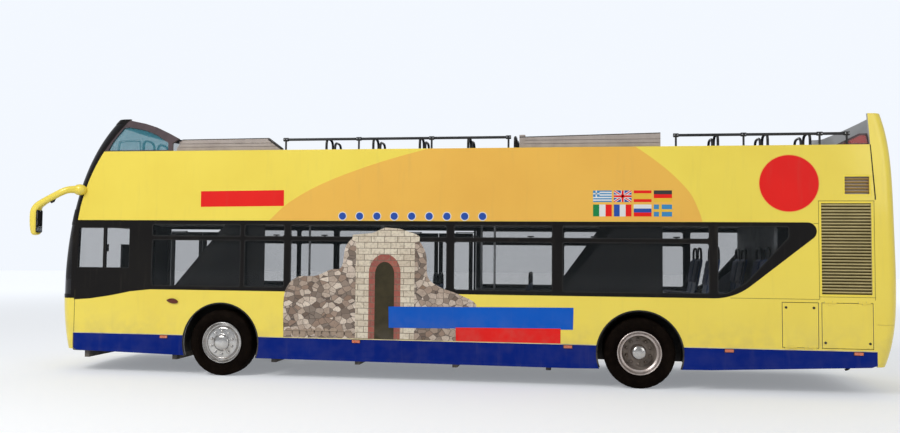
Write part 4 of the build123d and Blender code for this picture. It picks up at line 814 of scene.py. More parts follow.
def arch_lips():
    """Rubber lips round the wheel arches."""
    piece = Piece()
    r = ARCH_R - 0.004
    for x in (AXLE_F, AXLE_R):
        piece.tube([(x + r * c, HALF - 0.004, TYRE_R + r * s) for c, s in arc(-20, 200, 48)], 0.012, 8)
    piece.both("arch_lips", "seal")


def pale_lines():
    """Raised pale line between the skirt and the side panels."""
    reach = sqrt(ARCH_R ** 2 - (SKIRT_TOP - TYRE_R) ** 2) + 0.012
    tail = (WHEELBASE + reach, TAIL_START)
    left = [(-2.31, -reach), (reach, WHEELBASE - reach), tail]
    right = [(-2.31, -2.13), (-0.81, -reach), (reach, 2.14), (3.46, WHEELBASE - reach), tail]
    for (side, mark), spans in zip(SIDES, (left, right)):
        piece = Piece()
        for a, b in spans:
            piece.box((at(b), side * HALF, SKIRT_TOP + 0.001),
                      (at(a), side * (HALF + 0.004), SKIRT_TOP + 0.012))
        piece.done(f"pale_line_{mark}", "pale_line", slot="yellow_paint", bevel=0.001)


def seams():
    """Dark joints between panels, and the locks of the flaps."""
    lines = [oblong(7.14, 8.262, 1.2445, 1.2495), oblong(8.264, 8.269, 1.245, 2.545),
             oblong(8.954, 8.959, 1.245, 2.545), oblong(8.262, 8.962, 2.54, 2.546),
             oblong(8.2, 8.262, 2.24, 2.246), oblong(8.262, 8.962, 1.278, 1.283)]
    ends = [[(8.914, 3.286), (8.928, 3.286), (8.981, 2.6), (8.981, 2.557), (8.964, 2.557), (8.964, 2.6)],
            oblong(-2.306, -2.299, 0.36, 1.215)]
    film("panel_seams", lines, "seam", slot="black_trim", sides=SIDES[:1])
    film("panel_seams_back", lines[:1], "seam", slot="black_trim", sides=SIDES[1:])
    film("end_joints", ends, "seam", slot="black_trim")
    for body, z, stations in (("fuel_cover", 1.135, (7.845, 8.195)), ("filter_cover", 0.682, (8.335, 8.885))):
        piece = Piece()
        for s in stations:
            piece.screw((at(s), HALF, z), (0, 1, 0), 0.017, 0.003, 0.011, 0.006, 16)
        piece.done(f"{body}_locks", "seal", body)


def repeaters():
    """Teardrop indicator on each side behind the cab."""
    outline = [(-0.836, 1.086), (-0.778, 1.11), (-0.718, 1.108), (-0.672, 1.08), (-0.661, 1.058),
               (-0.69, 1.038), (-0.756, 1.041), (-0.816, 1.064)]
    curve = smooth_line(outline + outline[:1])[:-1]
    Piece().prism(curve, HALF, HALF + 0.02).both("repeater", "brown_lens", slot="lamp_amber", bevel=0.008)


def grille_screens():
    """Dark fly screens behind the slats of both grilles."""
    for name, look, a, b, low, high in (("low", "gauze", 8.301, 8.922, 1.315, 2.511),
                                        ("high", "guard", 8.598, 8.902, 2.633, 2.862)):
        piece = Piece().box((at(b), HALF - 0.044, low), (at(a), HALF - 0.0415, high))
        piece.done(f"grille_screen_{name}", look, bevel=0.0005)


# Windows: rubber seals and catches

GLASS_LOW = 1.292
GLASS_HIGH = 2.208
TRANSOM_LOW = 1.978
TRANSOM_HIGH = 2.022
SEAL = 0.013
SIDE_PANES = ([(-1.1, 0.285), (0.335, 0.95), (1.03, 3.32), (3.41, 4.79), (4.92, 6.88)],
              [(-0.75, 0.285), (0.335, 0.95), (1.03, 2.08), (3.52, 4.79), (4.92, 6.88)])
DRIVER_PANES = [(-2.28, -1.862), (-1.842, -1.447)]
TAIL_PANE = [(6.975, 2.208, 0.04), (7.9, 2.208, 0.04), (7.9, 2.055, 0.08), (7.35, 1.44, 0.35),
             (7.09, 1.292, 0.25), (6.975, 1.292, 0.04)]
TAIL_SEAL = [(6.988, 2.195, 0.03), (7.887, 2.195, 0.03), (7.887, 2.06, 0.07), (7.345, 1.454, 0.34),
             (7.087, 1.305, 0.24), (6.988, 1.305, 0.03)]
# half length, depth, and heights over the transom, of a catch's bar and its finger
CATCH = ((0.045, 0.022, 0.02, 0.038), (0.012, 0.035, 0.004, 0.024))


def window_seals():
    """Round-cornered rubber in every side window, with catches on the tilting top lights."""
    for (side, mark), panes in zip(SIDES, SIDE_PANES):
        seals = Piece()
        catches = Piece()
        faces = (side * (PANE_FACE - 0.001), side * (PANE_FACE + 0.003))
        inner = side * (HALF - 0.0175)
        for a, b in panes:
            for low, high in ((GLASS_LOW, TRANSOM_LOW), (TRANSOM_HIGH, GLASS_HIGH)):
                seals.ring(rounded(a, b, low, high, 0.04),
                           rounded(a + SEAL, b - SEAL, low + SEAL, high - SEAL, 0.03), *faces)
            for share in (0.22, 0.78):
                s = a + share * (b - a)
                for half, depth, low, high in CATCH:
                    y0, y1 = sorted((inner, inner - side * depth))
                    catches.box((at(s + half), y0, TRANSOM_HIGH + low),
                                (at(s - half), y1, TRANSOM_HIGH + high))
        seals.ring(soft_corners(TAIL_PANE), soft_corners(TAIL_SEAL), *faces)
        seals.done(f"window_rubber_{mark}", "seal")
        catches.done(f"window_catches_{mark}", "black_rail", bevel=0.003)
    driver = Piece()
    for a, b in DRIVER_PANES:
        driver.ring(rounded(a, b, 1.545, 2.15, 0.008), rounded(a + 0.01, b - 0.01, 1.555, 2.14, 0.006),
                    PANE_FACE - 0.001, PANE_FACE + 0.003)
    driver.box((at(-1.8), HALF - 0.04, 1.79), (at(-1.822), HALF - 0.016, 1.9))
    driver.done("driver_window_rubber", "seal", bevel=0.001)


# Picture wrap: a generic ruined gateway in stone colours

def printed(t, tone, joint):
    """The finish that the printed sheets share."""
    return t.finish(tone, t.blend(joint, 0.34, 0.5), t.noise(1.6, 2.0), 0.002, 0.4)


def rubble_material():
    """Printed rubble masonry: irregular stones with dark joints."""
    t = Tree("printed_rubble")
    stretch = (1.0, 0.1, 1.25)
    split = t.add("SeparateColor", {0: t.cells(11.0, stretch=stretch, socket="Color")})
    tone = t.mix(split.outputs[0], (0.24, 0.15, 0.10), (0.72, 0.61, 0.50))
    tone = t.mix(t.ramp(split.outputs[1], 0.60, 0.75, 0.8), tone, (0.10, 0.065, 0.045))
    tone = t.mottle(45.0, 6.0, 0.4, 0.75, tone, (0.16, 0.12, 0.09), 0.5)
    joint = t.ramp(t.cells(11.0, "DISTANCE_TO_EDGE", stretch), 0.055, 0.02, 0.85)
    return printed(t, t.mix(joint, tone, (0.07, 0.05, 0.04)), joint)


def ashlar_material(name, pale, dark):
    """Printed cut blocks in courses."""
    t = Tree(name)
    flat = t.add("CombineXYZ", {0: t.axis("X"), 1: t.axis("Z")}).outputs[0]
    brick = t.add("TexBrick", {"Vector": flat, "Color1": pale, "Color2": dark, "Mortar": (0.12, 0.09, 0.06),
                               "Scale": 1.0, "Mortar Size": 0.004, "Brick Width": 0.19, "Row Height": 0.085})
    tone = t.mottle(26.0, 7.0, 0.42, 0.75, brick.outputs["Color"], (0.25, 0.18, 0.12), 0.6)
    return printed(t, tone, brick.outputs["Fac"])


PRINT_FOOT = 0.585
GATE_MIDDLE = 2.43


def archway(z, half, rise):
    """Outline of an arched opening of the gateway."""
    curve = [(GATE_MIDDLE - half * c, z + rise * s) for c, s in arc(0, 180, 15)]
    return [(GATE_MIDDLE - half, PRINT_FOOT), *curve, (GATE_MIDDLE + half, PRINT_FOOT)]


def picture():
    """The print lies over panel and glass, on the left side only."""
    def sheet(name, outlines, material, level):
        piece = Piece()
        for outline in outlines:
            piece.prism(outline, PANE_FACE + 0.0005, HALF + 0.0004 * level)
        piece.done(f"picture_{name}", material, slot="window_glass", smooth=20.0)

    wall = smooth_line([(0.955, PRINT_FOOT), (0.948, 1.12), (1.01, 1.33), (1.16, 1.455), (1.42, 1.47),
                        (1.64, 1.56), (1.8, 1.6), (1.86, 1.9), (2.01, 2.06)], 4)
    wall += smooth_line([(2.89, 2.03), (3.02, 1.8), (3.05, 1.47), (3.23, 1.33), (3.48, 1.24), (3.74, 1.09),
                         (3.6, 0.83), (3.45, PRINT_FOOT)], 4)
    gate = [(2.01, PRINT_FOOT), (2.01, 1.96), (1.95, 1.985), (1.96, 2.06), (2.24, 2.085), (2.43, 2.165),
            (2.64, 2.15), (2.87, 2.075), (2.93, 2.04), (2.925, 1.975), (2.86, 1.955), (2.86, PRINT_FOOT)]
    cream = ashlar_material("printed_cream_blocks", (0.72, 0.64, 0.50), (0.58, 0.49, 0.37))
    red = ashlar_material("printed_red_blocks", (0.36, 0.085, 0.055), (0.26, 0.06, 0.045))
    brown = ashlar_material("printed_brown_blocks", (0.40, 0.30, 0.22), (0.30, 0.22, 0.16))
    sheet("rubble", [wall], rubble_material(), 1)
    sheet("gate", [gate], cream, 2)
    sheet("arch", [archway(1.52, 0.23, 0.27)], red, 3)
    sheet("shade", [archway(1.5, 0.14, 0.18)], "seam", 4)
    stones = []
    for k in range(9):
        z = 0.65 + 0.05 * random.random()
        rise = 0.05 + 0.02 * random.random()
        stones.append(oval(1.03 + 0.11 * k, z, 0.065, rise, 9, 0.5 * random.random()))
    sheet("blocks", stones, brown, 2)


# Upper deck trim

UPPER_FLOOR = 2.33
LOWER_FLOOR = 0.37
REAR_FLOOR = 0.78
STEPS = 8
STEP_SPACE = (0.56, 1.185)
CLAMP_Z = 3.44
CLAMP_STATIONS = ((1, (0.93, 2.02, 3.08, 4.17, 6.446, 7.33, 8.3, 8.64)),
                  (-1, (-0.64, 0.6, 1.9, 3.2, 4.5, 5.8, 7.1, 8.3, 8.64)))


def guard_trim():
    """Dark edge strips and pale inlays of the stairwell guards."""
    dark = Piece()
    pale = Piece()
    face = INNER - 0.003
    for line in ([(-0.69, 3.455), (0.66, 3.464), (0.87, 3.31)], [(4.32, 3.439), (6.246, 3.476)]):
        for (s0, z0), (s1, z1) in zip(line, line[1:]):
            dark.prism([(s0, z0), (s1, z1), (s1, z1 + 0.01), (s0, z0 + 0.01)], face - 0.036, face + 0.004)
    dark.prism([(0.655, 3.462), (0.87, 3.308), (0.845, 3.298), (0.64, 3.448)], face, face + 0.004)
    for low, high in ((3.3, 3.338), (3.352, 3.388), (3.402, 3.436)):
        for s0, s1 in ((-0.735, 0.7), (4.335, 6.23)):
            pale.prism(oblong(s0, s1, low, high), face, face + 0.0015)
    dark.done("guard_edges", "seal", bevel=0.002)
    pale.done("guard_inlays", "guard", slot="stair_panel", bevel=0.0006)


def stair_nosings():
    """Pale ribbed nosings on the steps of both stairs."""
    for number, (foot, head) in enumerate(((-1.31, 0.32), (4.335, 5.965))):
        piece = Piece()
        for i in range(STEPS - 1):
            s = foot + i * ((head - foot) / STEPS) if i else foot - 0.26
            z = LOWER_FLOOR + (i + 1) * ((UPPER_FLOOR - LOWER_FLOOR) / STEPS)
            for rib in (0.012, 0.026, 0.04):
                piece.box((at(s + rib + 0.008), STEP_SPACE[0], z), (at(s + rib), STEP_SPACE[1], z + 0.003))
        piece.done(f"stair_nosings_{number}", "pale_line", slot="stair_panel", bevel=0.0008)


def clamp_bolts():
    """Screw heads on the clamps of the handrails."""
    piece = Piece()
    for side, stations in CLAMP_STATIONS:
        for s in stations:
            for ds in (-0.022, 0.022):
                centre = (at(s + ds), side * (HALF - 0.0035), CLAMP_Z)
                piece.screw(centre, (0, side, 0), 0.007, 0.003, 0.005, 0.005, 10)
    piece.done("clamp_screws", "steel_rail", slot="black_rail")


# Seats: side lines in (reach, height)

SEAT_OVER = [(-0.427, 0.42), (-0.413, 0.447), (-0.37, 0.456), (-0.25, 0.443), (-0.13, 0.431), (-0.045, 0.436),
             (0.006, 0.48), (0.03, 0.62), (0.057, 0.762), (0.076, 0.87), (0.093, 0.956), (0.112, 0.985)]
SEAT_UNDER = [(-0.4, 0.398), (-0.385, 0.395), (-0.35, 0.392), (-0.24, 0.387), (-0.12, 0.379), (-0.03, 0.373),
              (0.03, 0.432), (0.078, 0.612), (0.103, 0.752), (0.124, 0.865), (0.138, 0.95), (0.136, 0.978)]
CUSHION = slice(2, 6)
BACK = slice(7, 11)
SEAT_HALF = 0.207
SEAT_Y = 0.22
PAIR_Y = 0.74
LOOP_REACH = 0.118
LOOP_HALF = 0.165
LOOP_MIDDLE = 1.0
LOOP_RISE = 0.145
DRIVER_PLACE = (-1.79, 0.64, LOWER_FLOOR + 0.06)
UPPER_LEFT = [-1.47, 1.385, 2.085, 2.77, 3.47, 4.135, 6.9, 7.55, 8.095]
UPPER_ROWS = [(s, PAIR_Y, UPPER_FLOOR) for s in UPPER_LEFT]
UPPER_ROWS += [(-1.47 + 0.7 * i, -PAIR_Y, UPPER_FLOOR) for i in range(14)]
LOWER_ROWS = [(s, PAIR_Y, LOWER_FLOOR) for s in (1.5, 2.25, 3.0)]
LOWER_ROWS += [(s, -PAIR_Y, LOWER_FLOOR) for s in (1.45, 4.28, 4.98)]
LOWER_ROWS += [(s, side * PAIR_Y, REAR_FLOOR) for s in (6.9, 7.56) for side in (1, -1)]


def seat_shell(piece, place, half=SEAT_HALF):
    """One moulded shell: cushion and backrest in a single curve."""
    return piece.moulding(place, smooth_line(SEAT_OVER, 2), smooth_line(SEAT_UNDER, 2), half, 0.008)


def pad(piece, place, span, half, rise):
    """A crowned pad on the cushion or the backrest of a shell, with two sewn channels."""
    over = smooth_line(SEAT_OVER[span])
    under = smooth_line(SEAT_UNDER[span])
    top = []
    foot = []
    for i, (p, q) in enumerate(zip(over, under)):
        away = (Vector(p) - Vector(q)).normalized()
        share = i / (len(over) - 1)
        groove = sum(exp(-((share - c) * 28) ** 2) for c in (0.36, 0.66))
        top.append(tuple(Vector(p) + away * (rise - 0.006 * groove)))
        foot.append(tuple(Vector(p) - away * 0.004))
    return piece.moulding(place, top, foot, half, -0.012, 15, True)


def grab_loop(piece, station, y, floor):
    """A coated loop over a backrest, its foot set into the shell."""
    points = [(at(station + LOOP_REACH), y + LOOP_HALF * eased(c, 0.62), floor + LOOP_MIDDLE
               + LOOP_RISE * eased(s, 0.62)) for c, s in circle(40)]
    piece.sweep(points, [(0.0185, 0.0175, 2.0)] * 40, (1, 0, 0), 12, True)


def pedestal(piece, bolts, station, y, floor):
    """Cross beams, a folded leg and its bolted foot plate under a double seat."""
    for reach in (-0.25, -0.095):
        x = at(station + reach)
        piece.box((x - 0.024, y - 0.425, floor + 0.338), (x + 0.024, y + 0.425, floor + 0.388))
    leg = (0.11, 0.23, 0.088, 0.008, 0.345)
    plate = (0.085, 0.255, 0.125, 0.001, 0.009)
    for front, rear, half, low, high in (leg, plate):
        piece.box((at(station - front), y - half, floor + low), (at(station - rear), y + half, floor + high))
    for reach in (-0.24, -0.1):
        for side in (-0.108, 0.108):
            centre = (at(station + reach), y + side, floor + 0.009)
            bolts.screw(centre, (0, 0, 1), 0.009, 0.006, 0.006, 0.009)


def seats():
    """Seats of both decks, with pads on the lower one."""
    for deck, rows in (("upper", UPPER_ROWS), ("lower", LOWER_ROWS)):
        shells, loops, legs, bolts, pads = (Piece() for _ in range(5))
        for station, y, floor in rows:
            for side in (-SEAT_Y, SEAT_Y):
                place = (station, y + side, floor)
                seat_shell(shells, place)
                grab_loop(loops, *place)
                if deck == "lower":
                    pad(pads, place, CUSHION, SEAT_HALF - 0.022, 0.022)
                    pad(pads, place, BACK, SEAT_HALF - 0.022, 0.018)
            pedestal(legs, bolts, station, y, floor)
        made = [shells.done(f"{deck}_seat_shells", "seat_shell", slot="seat_plastic"),
                loops.done(f"{deck}_seat_loops", "black_rail", slot="black_rail"),
                legs.done(f"{deck}_seat_legs", "frame_steel", slot="frame_steel", bevel=0.004)]
        bolts.done(f"{deck}_seat_bolts", "rim_steel", slot="frame_steel")
        for piece in made:
            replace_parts(piece, f"{deck}_seats")
        if deck == "lower":
            pads.done("lower_seat_pads", "moquette", slot="seat_plastic")


def driver_place():
    """Sprung driver's seat: shell, crowned pads, bellows over the spring and a round-cornered base."""
    shell = seat_shell(Piece(), DRIVER_PLACE, 0.25)
    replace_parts(shell.done("driver_seat_shell", "dash", slot="dash_plastic"), "driver_seat")
    pads = pad(pad(Piece(), DRIVER_PLACE, CUSHION, 0.225, 0.03), DRIVER_PLACE, BACK, 0.225, 0.026)
    pads.done("driver_seat_pads", "moquette", slot="seat_plastic")
    levels = [(0.37, 0.15), (0.4, 0.15), (0.405, 0.138)]
    for k in range(7):
        levels += [(0.43 + 0.045 * k, 0.112), (0.452 + 0.045 * k, 0.132)]
    levels += [(0.745, 0.138), (0.75, 0.15), (0.838, 0.15)]
    x = at(DRIVER_PLACE[0]) + 0.18
    base = Piece().sweep([(x, DRIVER_PLACE[1], z) for z, r in levels], [(r, r * 0.8, 6.0) for z, r in levels],
                         (0, 1, 0), 32)
    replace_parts(base.done("driver_seat_base", "seal", slot="dash_plastic"), "driver_seat")


# Front and rear fittings

MIRROR_ARM = [
    # station, distance outside the side, height; half width, half depth and squareness of the section
    (-2.262, 0.02, 2.712, 0.06, 0.064, 2.0),
    (-2.33, 0.065, 2.712, 0.052, 0.056, 2.0),
    (-2.4, 0.11, 2.702, 0.047, 0.052, 2.0),
    (-2.48, 0.137, 2.668, 0.045, 0.051, 2.0),
    (-2.56, 0.15, 2.624, 0.045, 0.051, 2.0),
    (-2.68, 0.15, 2.564, 0.048, 0.052, 2.0),
    (-2.77, 0.15, 2.512, 0.054, 0.054, 2.2),
    (-2.838, 0.15, 2.462, 0.066, 0.055, 2.8),
    (-2.87, 0.15, 2.405, 0.08, 0.056, 3.6),
    (-2.877, 0.15, 2.345, 0.086, 0.057, 4.0),
    (-2.877, 0.15, 2.24, 0.087, 0.057, 4.0),
    (-2.872, 0.15, 2.13, 0.083, 0.054, 4.0),
    (-2.867, 0.15, 2.06, 0.072, 0.047, 3.8),
    (-2.865, 0.15, 2.034, 0.054, 0.036, 3.2),
    (-2.864, 0.15, 2.024, 0.024, 0.016, 2.5),
]
BEZEL = [(0.0955, 0.0), (0.0955, 0.004), (0.099, 0.007), (0.1035, 0.006), (0.106, 0.001), (0.106, -0.004)]
REFLECTOR = [(0.086, 0.0), (0.086, 0.003), (0.06, 0.008), (0.03, 0.016), (0.012, 0.022), (0.0, 0.023)]
HEADLAMP_Y = (0.7, -0.7, 0.93, -0.93)
HEADLAMP_Z = 0.64
TAIL_LAMP_Y = (1.02, -1.02)
TAIL_LAMP_Z = (1.08, 1.23, 1.38)
MARKER_STATIONS = (-0.87, 2.03, 5.0, 7.12, 8.74)
WIPER_Y = (-0.505, 0.505)
PIVOT_Z = 1.118
BLADE_Z = 1.225
VENT_FOOT = 1.09
LOCK_Z = 1.02
STEERING = Vector((at(-2.215), DRIVER_PLACE[1], 1.21))
AHEAD = (8.0, (-1, 0, 0))
BEHIND = (-8.0, (1, 0, 0))


def found(name, end, y, z):
    """The place of a height on a node's front or rear face, and the outward direction there."""
    return hit(name, (end[0], y, z), end[1])


def mirror_arms():
    """Arm, round base and hanging housing of each outside mirror as one flowing form."""
    rows = smooth_line(MIRROR_ARM, 4)
    arm = Piece().sweep([(at(s), HALF + out, z) for s, out, z, *_ in rows], [row[3:] for row in rows],
                        (0, 1, 0), 28)
    s, out, z, *_ = MIRROR_ARM[0]
    bulge = arc(0, 180, 15)
    arm.sweep([(at(s) + 0.104 * c, HALF + out, z) for c, d in bulge],
              [(max(0.002, 0.078 * d), max(0.002, 0.084 * d), 2.0) for c, d in bulge], (0, 1, 0), 28)
    for piece in arm.both("mirror_arm", "yellow_plain", slot="yellow_paint", smooth=60.0):
        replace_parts(piece, "mirrors")


def mirror_faces():
    """Glass and dark rim on the rear side of each mirror housing, and the fin under the arm."""
    x = at(-2.875) - 0.05
    y = HALF + 0.15

    def plate(piece, low, high, half, x0, x1, r):
        outline = rounded(-half, half, low, high, r)
        piece.skin([[(x, y + a, z) for a, z in outline] for x in (x0, x1)], ends=True)

    rim = Piece()
    plate(rim, 2.062, 2.398, 0.07, x, x - 0.011, 0.024)
    fin = [(-2.66, 2.53), (-2.6, 2.56), (-2.56, 2.57), (-2.585, 2.52), (-2.63, 2.5)]
    rim.prism(fin, y - 0.006, y + 0.006)
    rim.both("mirror_rim", "seal", bevel=0.001)
    panes = Piece()
    plate(panes, 2.164, 2.388, 0.06, x - 0.01, x - 0.013, 0.018)
    plate(panes, 2.074, 2.148, 0.06, x - 0.01, x - 0.014, 0.018)
    panes.both("mirror_glass", "mirror", bevel=0.001)


def lamp_rings():
    """Bright rings round the lamps, set square to the curved front and rear."""
    front = Piece()
    for y in HEADLAMP_Y:
        place, out = found("headlamps", AHEAD, y, HEADLAMP_Z)
        front.lathe(BEZEL, place + out * 0.002, out, 48)
        front.cap(REFLECTOR, place - out * 0.05, out, 32)
    front.done("headlamp_rings", "chrome", slot="lamp_clear")
    rear = Piece()
    for z in TAIL_LAMP_Z:
        for y in TAIL_LAMP_Y:
            place, out = found("tail_lamps", BEHIND, y, z)
            rear.lathe([(r * 0.62, h) for r, h in BEZEL], place - out * 0.006, out, 40)
    rear.done("tail_lamp_rings", "seal", slot="lamp_red")


def marker_bezels():
    """Black rims round the side marker lamps."""
    for side, mark in SIDES:
        piece = Piece()
        for s in MARKER_STATIONS:
            piece.ring(rounded(s - 0.064, s + 0.064, 0.524, 0.575, 0.012),
                       rounded(s - 0.055, s + 0.055, 0.532, 0.567, 0.004), side * HALF, side * (HALF + 0.006))
        piece.done(f"marker_rims_{mark}", "seal", slot="lamp_amber", bevel=0.001)


def wiper_arms():
    """Sprung arms and pivots of the wipers, laid on the lower windscreen."""
    piece = Piece()
    for y in WIPER_Y:
        pivot, out = found("windscreen_frame", AHEAD, y, PIVOT_Z)
        piece.cap([(0.026, 0.0), (0.026, 0.02), (0.018, 0.03), (0.0, 0.032)], pivot + out * 0.01, out, 20)
        blade, out = found("wipers", AHEAD, y, BLADE_Z)
        elbow = pivot + out * 0.036 + Vector((0, 0, 0.05))
        piece.tube([pivot + out * 0.03, elbow, blade + out * 0.008], 0.009, 8)
        for k in (-4, -3, -2, -1, 1, 2, 3, 4):
            place, out = found("wipers", AHEAD, y + 0.1 * k, BLADE_Z)
            piece.box(place - Vector((0.004, 0.01, 0.01)), place + Vector((0.007, 0.01, 0.01)))
    piece.done("wiper_arms", "black_rail", bevel=0.001)


def rear_fittings():
    """Pressed vent slots and a bright lock on the engine lid."""
    vents = Piece()
    for row in range(9):
        for y in (-0.48, 0.48):
            place, out = found("engine_lid", BEHIND, y, VENT_FOOT + 0.03 * row)
            across = Vector((0, 0, 1)).cross(out).normalized()
            vents.tube([place + across * 0.21 * k + out * 0.001 for k in (-1, -0.5, 0, 0.5, 1)], 0.0075, 10)
    vents.done("lid_vents", "yellow_plain", "engine_cover", "yellow_paint")
    place, out = found("engine_lid", BEHIND, 0.0, LOCK_Z)
    lock = Piece().lathe([(0.012, 0.0), (0.012, 0.004), (0.022, 0.006), (0.03, 0.004), (0.032, -0.002),
                          (0.012, -0.002)], place, out, 32)
    lock.cap([(0.0115, 0.0), (0.0115, 0.002), (0.0, 0.0025)], place, out, 16)
    lock.done("lid_lock", "chrome", "engine_cover")


def door_rubbers():
    """Rubber round the glass of every door leaf."""
    for name in ("front_door_leaf_a", "front_door_leaf_b", "mid_door_leaf_a", "mid_door_leaf_b"):
        low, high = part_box(name)
        s0, s1 = at(high.x) + DOOR_FRAME, at(low.x) - DOOR_FRAME
        outer = rounded(s0 + 0.0005, s1 - 0.0005, DOOR_LOW, DOOR_HIGH, 0.004)
        inner = rounded(s0 + 0.014, s1 - 0.014, DOOR_LOW + 0.0135, DOOR_HIGH - 0.0135, 0.012)
        piece = Piece()
        for y in (DOOR_Y - 0.004, DOOR_Y + 0.004):
            piece.ring(outer, inner, y - 0.002, y + 0.002)
        piece.done(f"{name}_rubber", "seal", name, "door_black")


def cab_fittings():
    """Instrument binnacle, switches and levers of the driver's place."""
    middle = DRIVER_PLACE[1]
    outline = [(-2.42, 1.07), (-2.44, 1.13), (-2.41, 1.18), (-2.34, 1.195), (-2.265, 1.165), (-2.25, 1.15),
               (-2.262, 1.146), (-2.33, 1.168), (-2.35, 1.14), (-2.33, 1.08)]
    hood = Piece().prism(smooth_line(outline + outline[:1], 3)[:-1], middle - 0.18, middle + 0.18)
    hood.done("instrument_hood", "dash", slot="dash_plastic", bevel=0.004)
    dials = Piece()
    for y in (middle - 0.1, middle, middle + 0.1):
        dials.lathe([(0.034, 0.0), (0.034, 0.006), (0.04, 0.008), (0.043, 0.003), (0.043, -0.004),
                     (0.034, -0.004)], (at(-2.345), y, 1.122), (-0.5, 0.0, 0.12), 28)
    dials.done("dial_rims", "chrome", slot="dash_plastic")
    keys = Piece()
    for row in range(2):
        for column in range(7):
            place, out = hit("dashboard", (at(-2.29 - 0.05 * row), -0.23 + 0.045 * column, 2.0), (0, 0, -1))
            keys.box(place - Vector((0.011, 0.016, 0.002)), place + Vector((0.011, 0.016, 0.007)))
    keys.done("dash_switches", "seal", slot="dash_plastic", bevel=0.0025)
    levers = Piece()
    for side in (1, -1):
        levers.tube([(at(s), middle + side * y, z) for s, y, z in
                     ((-2.262, 0.02, 1.15), (-2.24, 0.12, 1.172), (-2.222, 0.215, 1.186))], 0.008, 10)
    levers.done("column_levers", "black_rail", slot="dash_plastic")
    axis = Vector((-0.185, 0.0, 0.25)).normalized()
    hub = Piece().cap([(0.075, 0.0), (0.075, 0.012), (0.066, 0.022), (0.035, 0.029), (0.0, 0.031)],
                      STEERING + axis * 0.006, axis, 32)
    hub.done("wheel_hub", "dash", slot="dash_plastic")


def engine_details():
    """Covers, pulleys, belt, pipes and bolts that show when the lid is up."""
    low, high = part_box("engine_block")
    x = low.x
    cast = Piece()
    for y0, y1 in ((-0.44, -0.25), (-0.225, -0.035), (-0.01, 0.18), (0.205, 0.395)):
        cast.box((x + 0.1, y0, high.z), (high.x - 0.12, y1, high.z + 0.055))
    for k in range(11):
        z = low.z + 0.1 + 0.03 * k
        cast.box((x - 0.016, -0.46, z), (x, -0.12, z + 0.012))
    cast.done("engine_ribs", "engine_iron", slot="engine_iron", bevel=0.008)
    pulleys = ((-0.06, 0.64, 0.12), (0.33, 0.56, 0.085), (0.3, 0.96, 0.07), (-0.02, 1.02, 0.095))
    drive = Piece()
    for y, z, r in pulleys:
        drive.lathe([(0.014, 0.0), (0.014, 0.034), (r, 0.034), (r, 0.028), (r - 0.012, 0.022),
                     (r - 0.012, 0.012), (r, 0.006), (r, 0.0)], (x, y, z), (-1, 0, 0), 40)
    drive.done("engine_pulleys", "rim_steel", slot="engine_iron")
    loop = []
    for (y, z, r), (a0, a1) in zip(pulleys, ((200, 290), (290, 380), (20, 80), (80, 200))):
        loop += [Vector((y + (r - 0.008) * c, z + (r - 0.008) * s)) for c, s in arc(a0, a1, 8)]
    centre = Vector((0.14, 0.8))
    rows = []
    for depth, grow in ((0.011, 0.0), (0.023, 0.0), (0.023, 0.009), (0.011, 0.009)):
        grown = [point + (point - centre).normalized() * grow for point in loop]
        rows.append([(x - depth, point.x, point.y) for point in grown])
    Piece().skin(rows, closed=True).done("engine_belt", "seal", slot="engine_iron")
    pipes = Piece()
    for y, z, lift in ((-0.4, 1.18, 0.05), (-0.3, 1.12, 0.075), (0.42, 0.48, 0.06)):
        run = smooth_line([(0.0, 0.0), (lift, 0.02), (lift, 0.2), (0.0, 0.24)], 5)
        pipes.tube([(x - a, y + 0.25 * b, z - b) for a, b in run], 0.016, 12)
    pipes.done("engine_pipes", "seal", slot="engine_iron")
    bolts = Piece()
    for y, z, r in pulleys:
        bolts.screw((x - 0.034, y, z), (-1, 0, 0), 0.013, 0.007, 0.009, 0.01)
    for k in range(7):
        bolts.screw((x, -0.44 + 0.14 * k, low.z + 0.06), (-1, 0, 0), 0.011, 0.006, 0.008, 0.009)
    bolts.done("engine_bolts", "rim_steel", slot="engine_iron")


for build in (livery, flags, tyres, wheels, arch_lips, pale_lines, seams, repeaters, grille_screens,
              window_seals, picture, guard_trim, stair_nosings, clamp_bolts, seats, driver_place,
              mirror_arms, mirror_faces, lamp_rings, marker_bezels, wiper_arms, rear_fittings,
              door_rubbers, cab_fittings, engine_details):
    build()


# Camera, light and floor

SKY = (0.90, 0.94, 1.0)
PHOTO_WIDTH = 900.0
FOCAL_PIXELS = 820.0
SENSOR = 36.0
LENS_PLACE = (at(5.007), 12.656, 1.76)


def placed(name, data):
    """An object in the scene from its data."""
    obj = bpy.data.objects.new(name, data)
    bpy.context.scene.collection.objects.link(obj)
    return obj


def camera():
    """The photograph's view."""
    yaw, pitch, roll = radians(-8.25), radians(2.81), radians(0.55)
    data = bpy.data.cameras.new("camera")
    data.sensor_fit = "HORIZONTAL"
    data.sensor_width = SENSOR
    data.lens = SENSOR * FOCAL_PIXELS / PHOTO_WIDTH
    data.clip_end = 200.0
    right = Vector((cos(yaw), -sin(yaw), 0.0))
    ahead = Vector((sin(yaw) * cos(pitch), cos(yaw) * cos(pitch), sin(pitch)))
    up = right.cross(ahead)
    side = right * cos(roll) + up * sin(roll)
    top = up * cos(roll) - right * sin(roll)
    turn = Matrix([(-v.x, -v.y, v.z) for v in (side, top, -ahead)]).transposed().to_4x4()
    turn.translation = LENS_PLACE
    obj = placed("camera", data)
    obj.matrix_world = turn
    bpy.context.scene.camera = obj


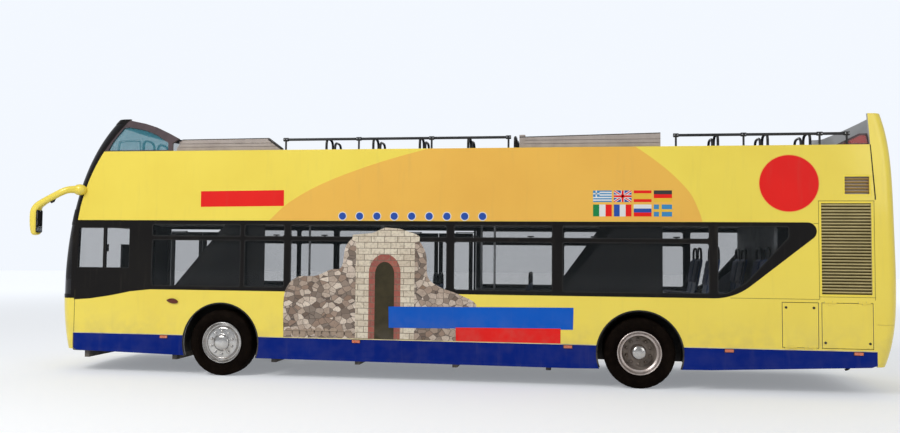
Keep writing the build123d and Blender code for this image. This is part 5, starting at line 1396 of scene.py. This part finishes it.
def lamp(name, place, target, power, size):
    data = bpy.data.lights.new(name, "AREA")
    data.energy = power
    data.shape = "RECTANGLE"
    data.size, data.size_y = size
    obj = placed(name, data)
    obj.location = place
    obj.rotation_euler = (Vector(target) - Vector(place)).to_track_quat("-Z", "Y").to_euler()


def floor():
    """Pale round floor that brightens into the backdrop for the camera."""
    t = Tree("pale_floor")
    grain = t.noise(14.0, 6.0)
    path = t.add("LightPath").outputs
    seen = t.calc("MAXIMUM", path["Is Camera Ray"], path["Is Glossy Ray"])
    span = t.add("VectorMath", {0: t.place}, operation="LENGTH").outputs["Value"]
    tone = t.mix(t.ramp(grain, 0.35, 0.7), (0.80, 0.80, 0.80), (0.76, 0.76, 0.765))
    glow = t.times(seen, t.plus(0.26, t.ramp(span, 9.0, 34.0, 0.36)))
    disc = Piece().cap([(80.0, -0.05), (80.0, 0.0), (0.0, 0.0)], (0, 0, 0), (0, 0, 1), 128)
    mesh = bpy.data.meshes.new("floor")
    mesh.from_pydata(disc.verts, [], disc.faces)
    mesh.materials.append(t.finish(tone, 0.85, grain, 0.002, 0.2, Emission_Color=SKY, Emission_Strength=glow))
    placed("floor", mesh)


def backdrop():
    """Even light from all round; the camera and see-through rays meet a brighter sky."""
    t = Tree("world", bpy.data.worlds, "Background")
    t.set(Color=(0.93, 0.96, 1.0), Strength=0.52)
    path = t.add("LightPath").outputs
    share = t.calc("MAXIMUM", path["Is Camera Ray"], path["Is Transmission Ray"])
    seen = t.add("Background", {"Color": SKY, "Strength": 1.0})
    both = t.add("MixShader", {0: share, 1: t.shader.outputs[0], 2: seen.outputs[0]})
    t.put(t.nodes["World Output"].inputs["Surface"], both.outputs[0])
    bpy.context.scene.world = t.material


camera()
floor()
backdrop()
lamp("key", (9.0, 14.0, 13.0), (0.0, 0.0, 1.6), 1700.0, (7.0, 7.0))
lamp("fill", (-12.0, 11.0, 7.0), (0.0, 0.0, 1.6), 350.0, (8.0, 8.0))
lamp("back", (0.0, -14.0, 10.0), (0.0, 0.0, 2.0), 600.0, (12.0, 6.0))
bpy.context.scene.view_settings.view_transform = "Standard"
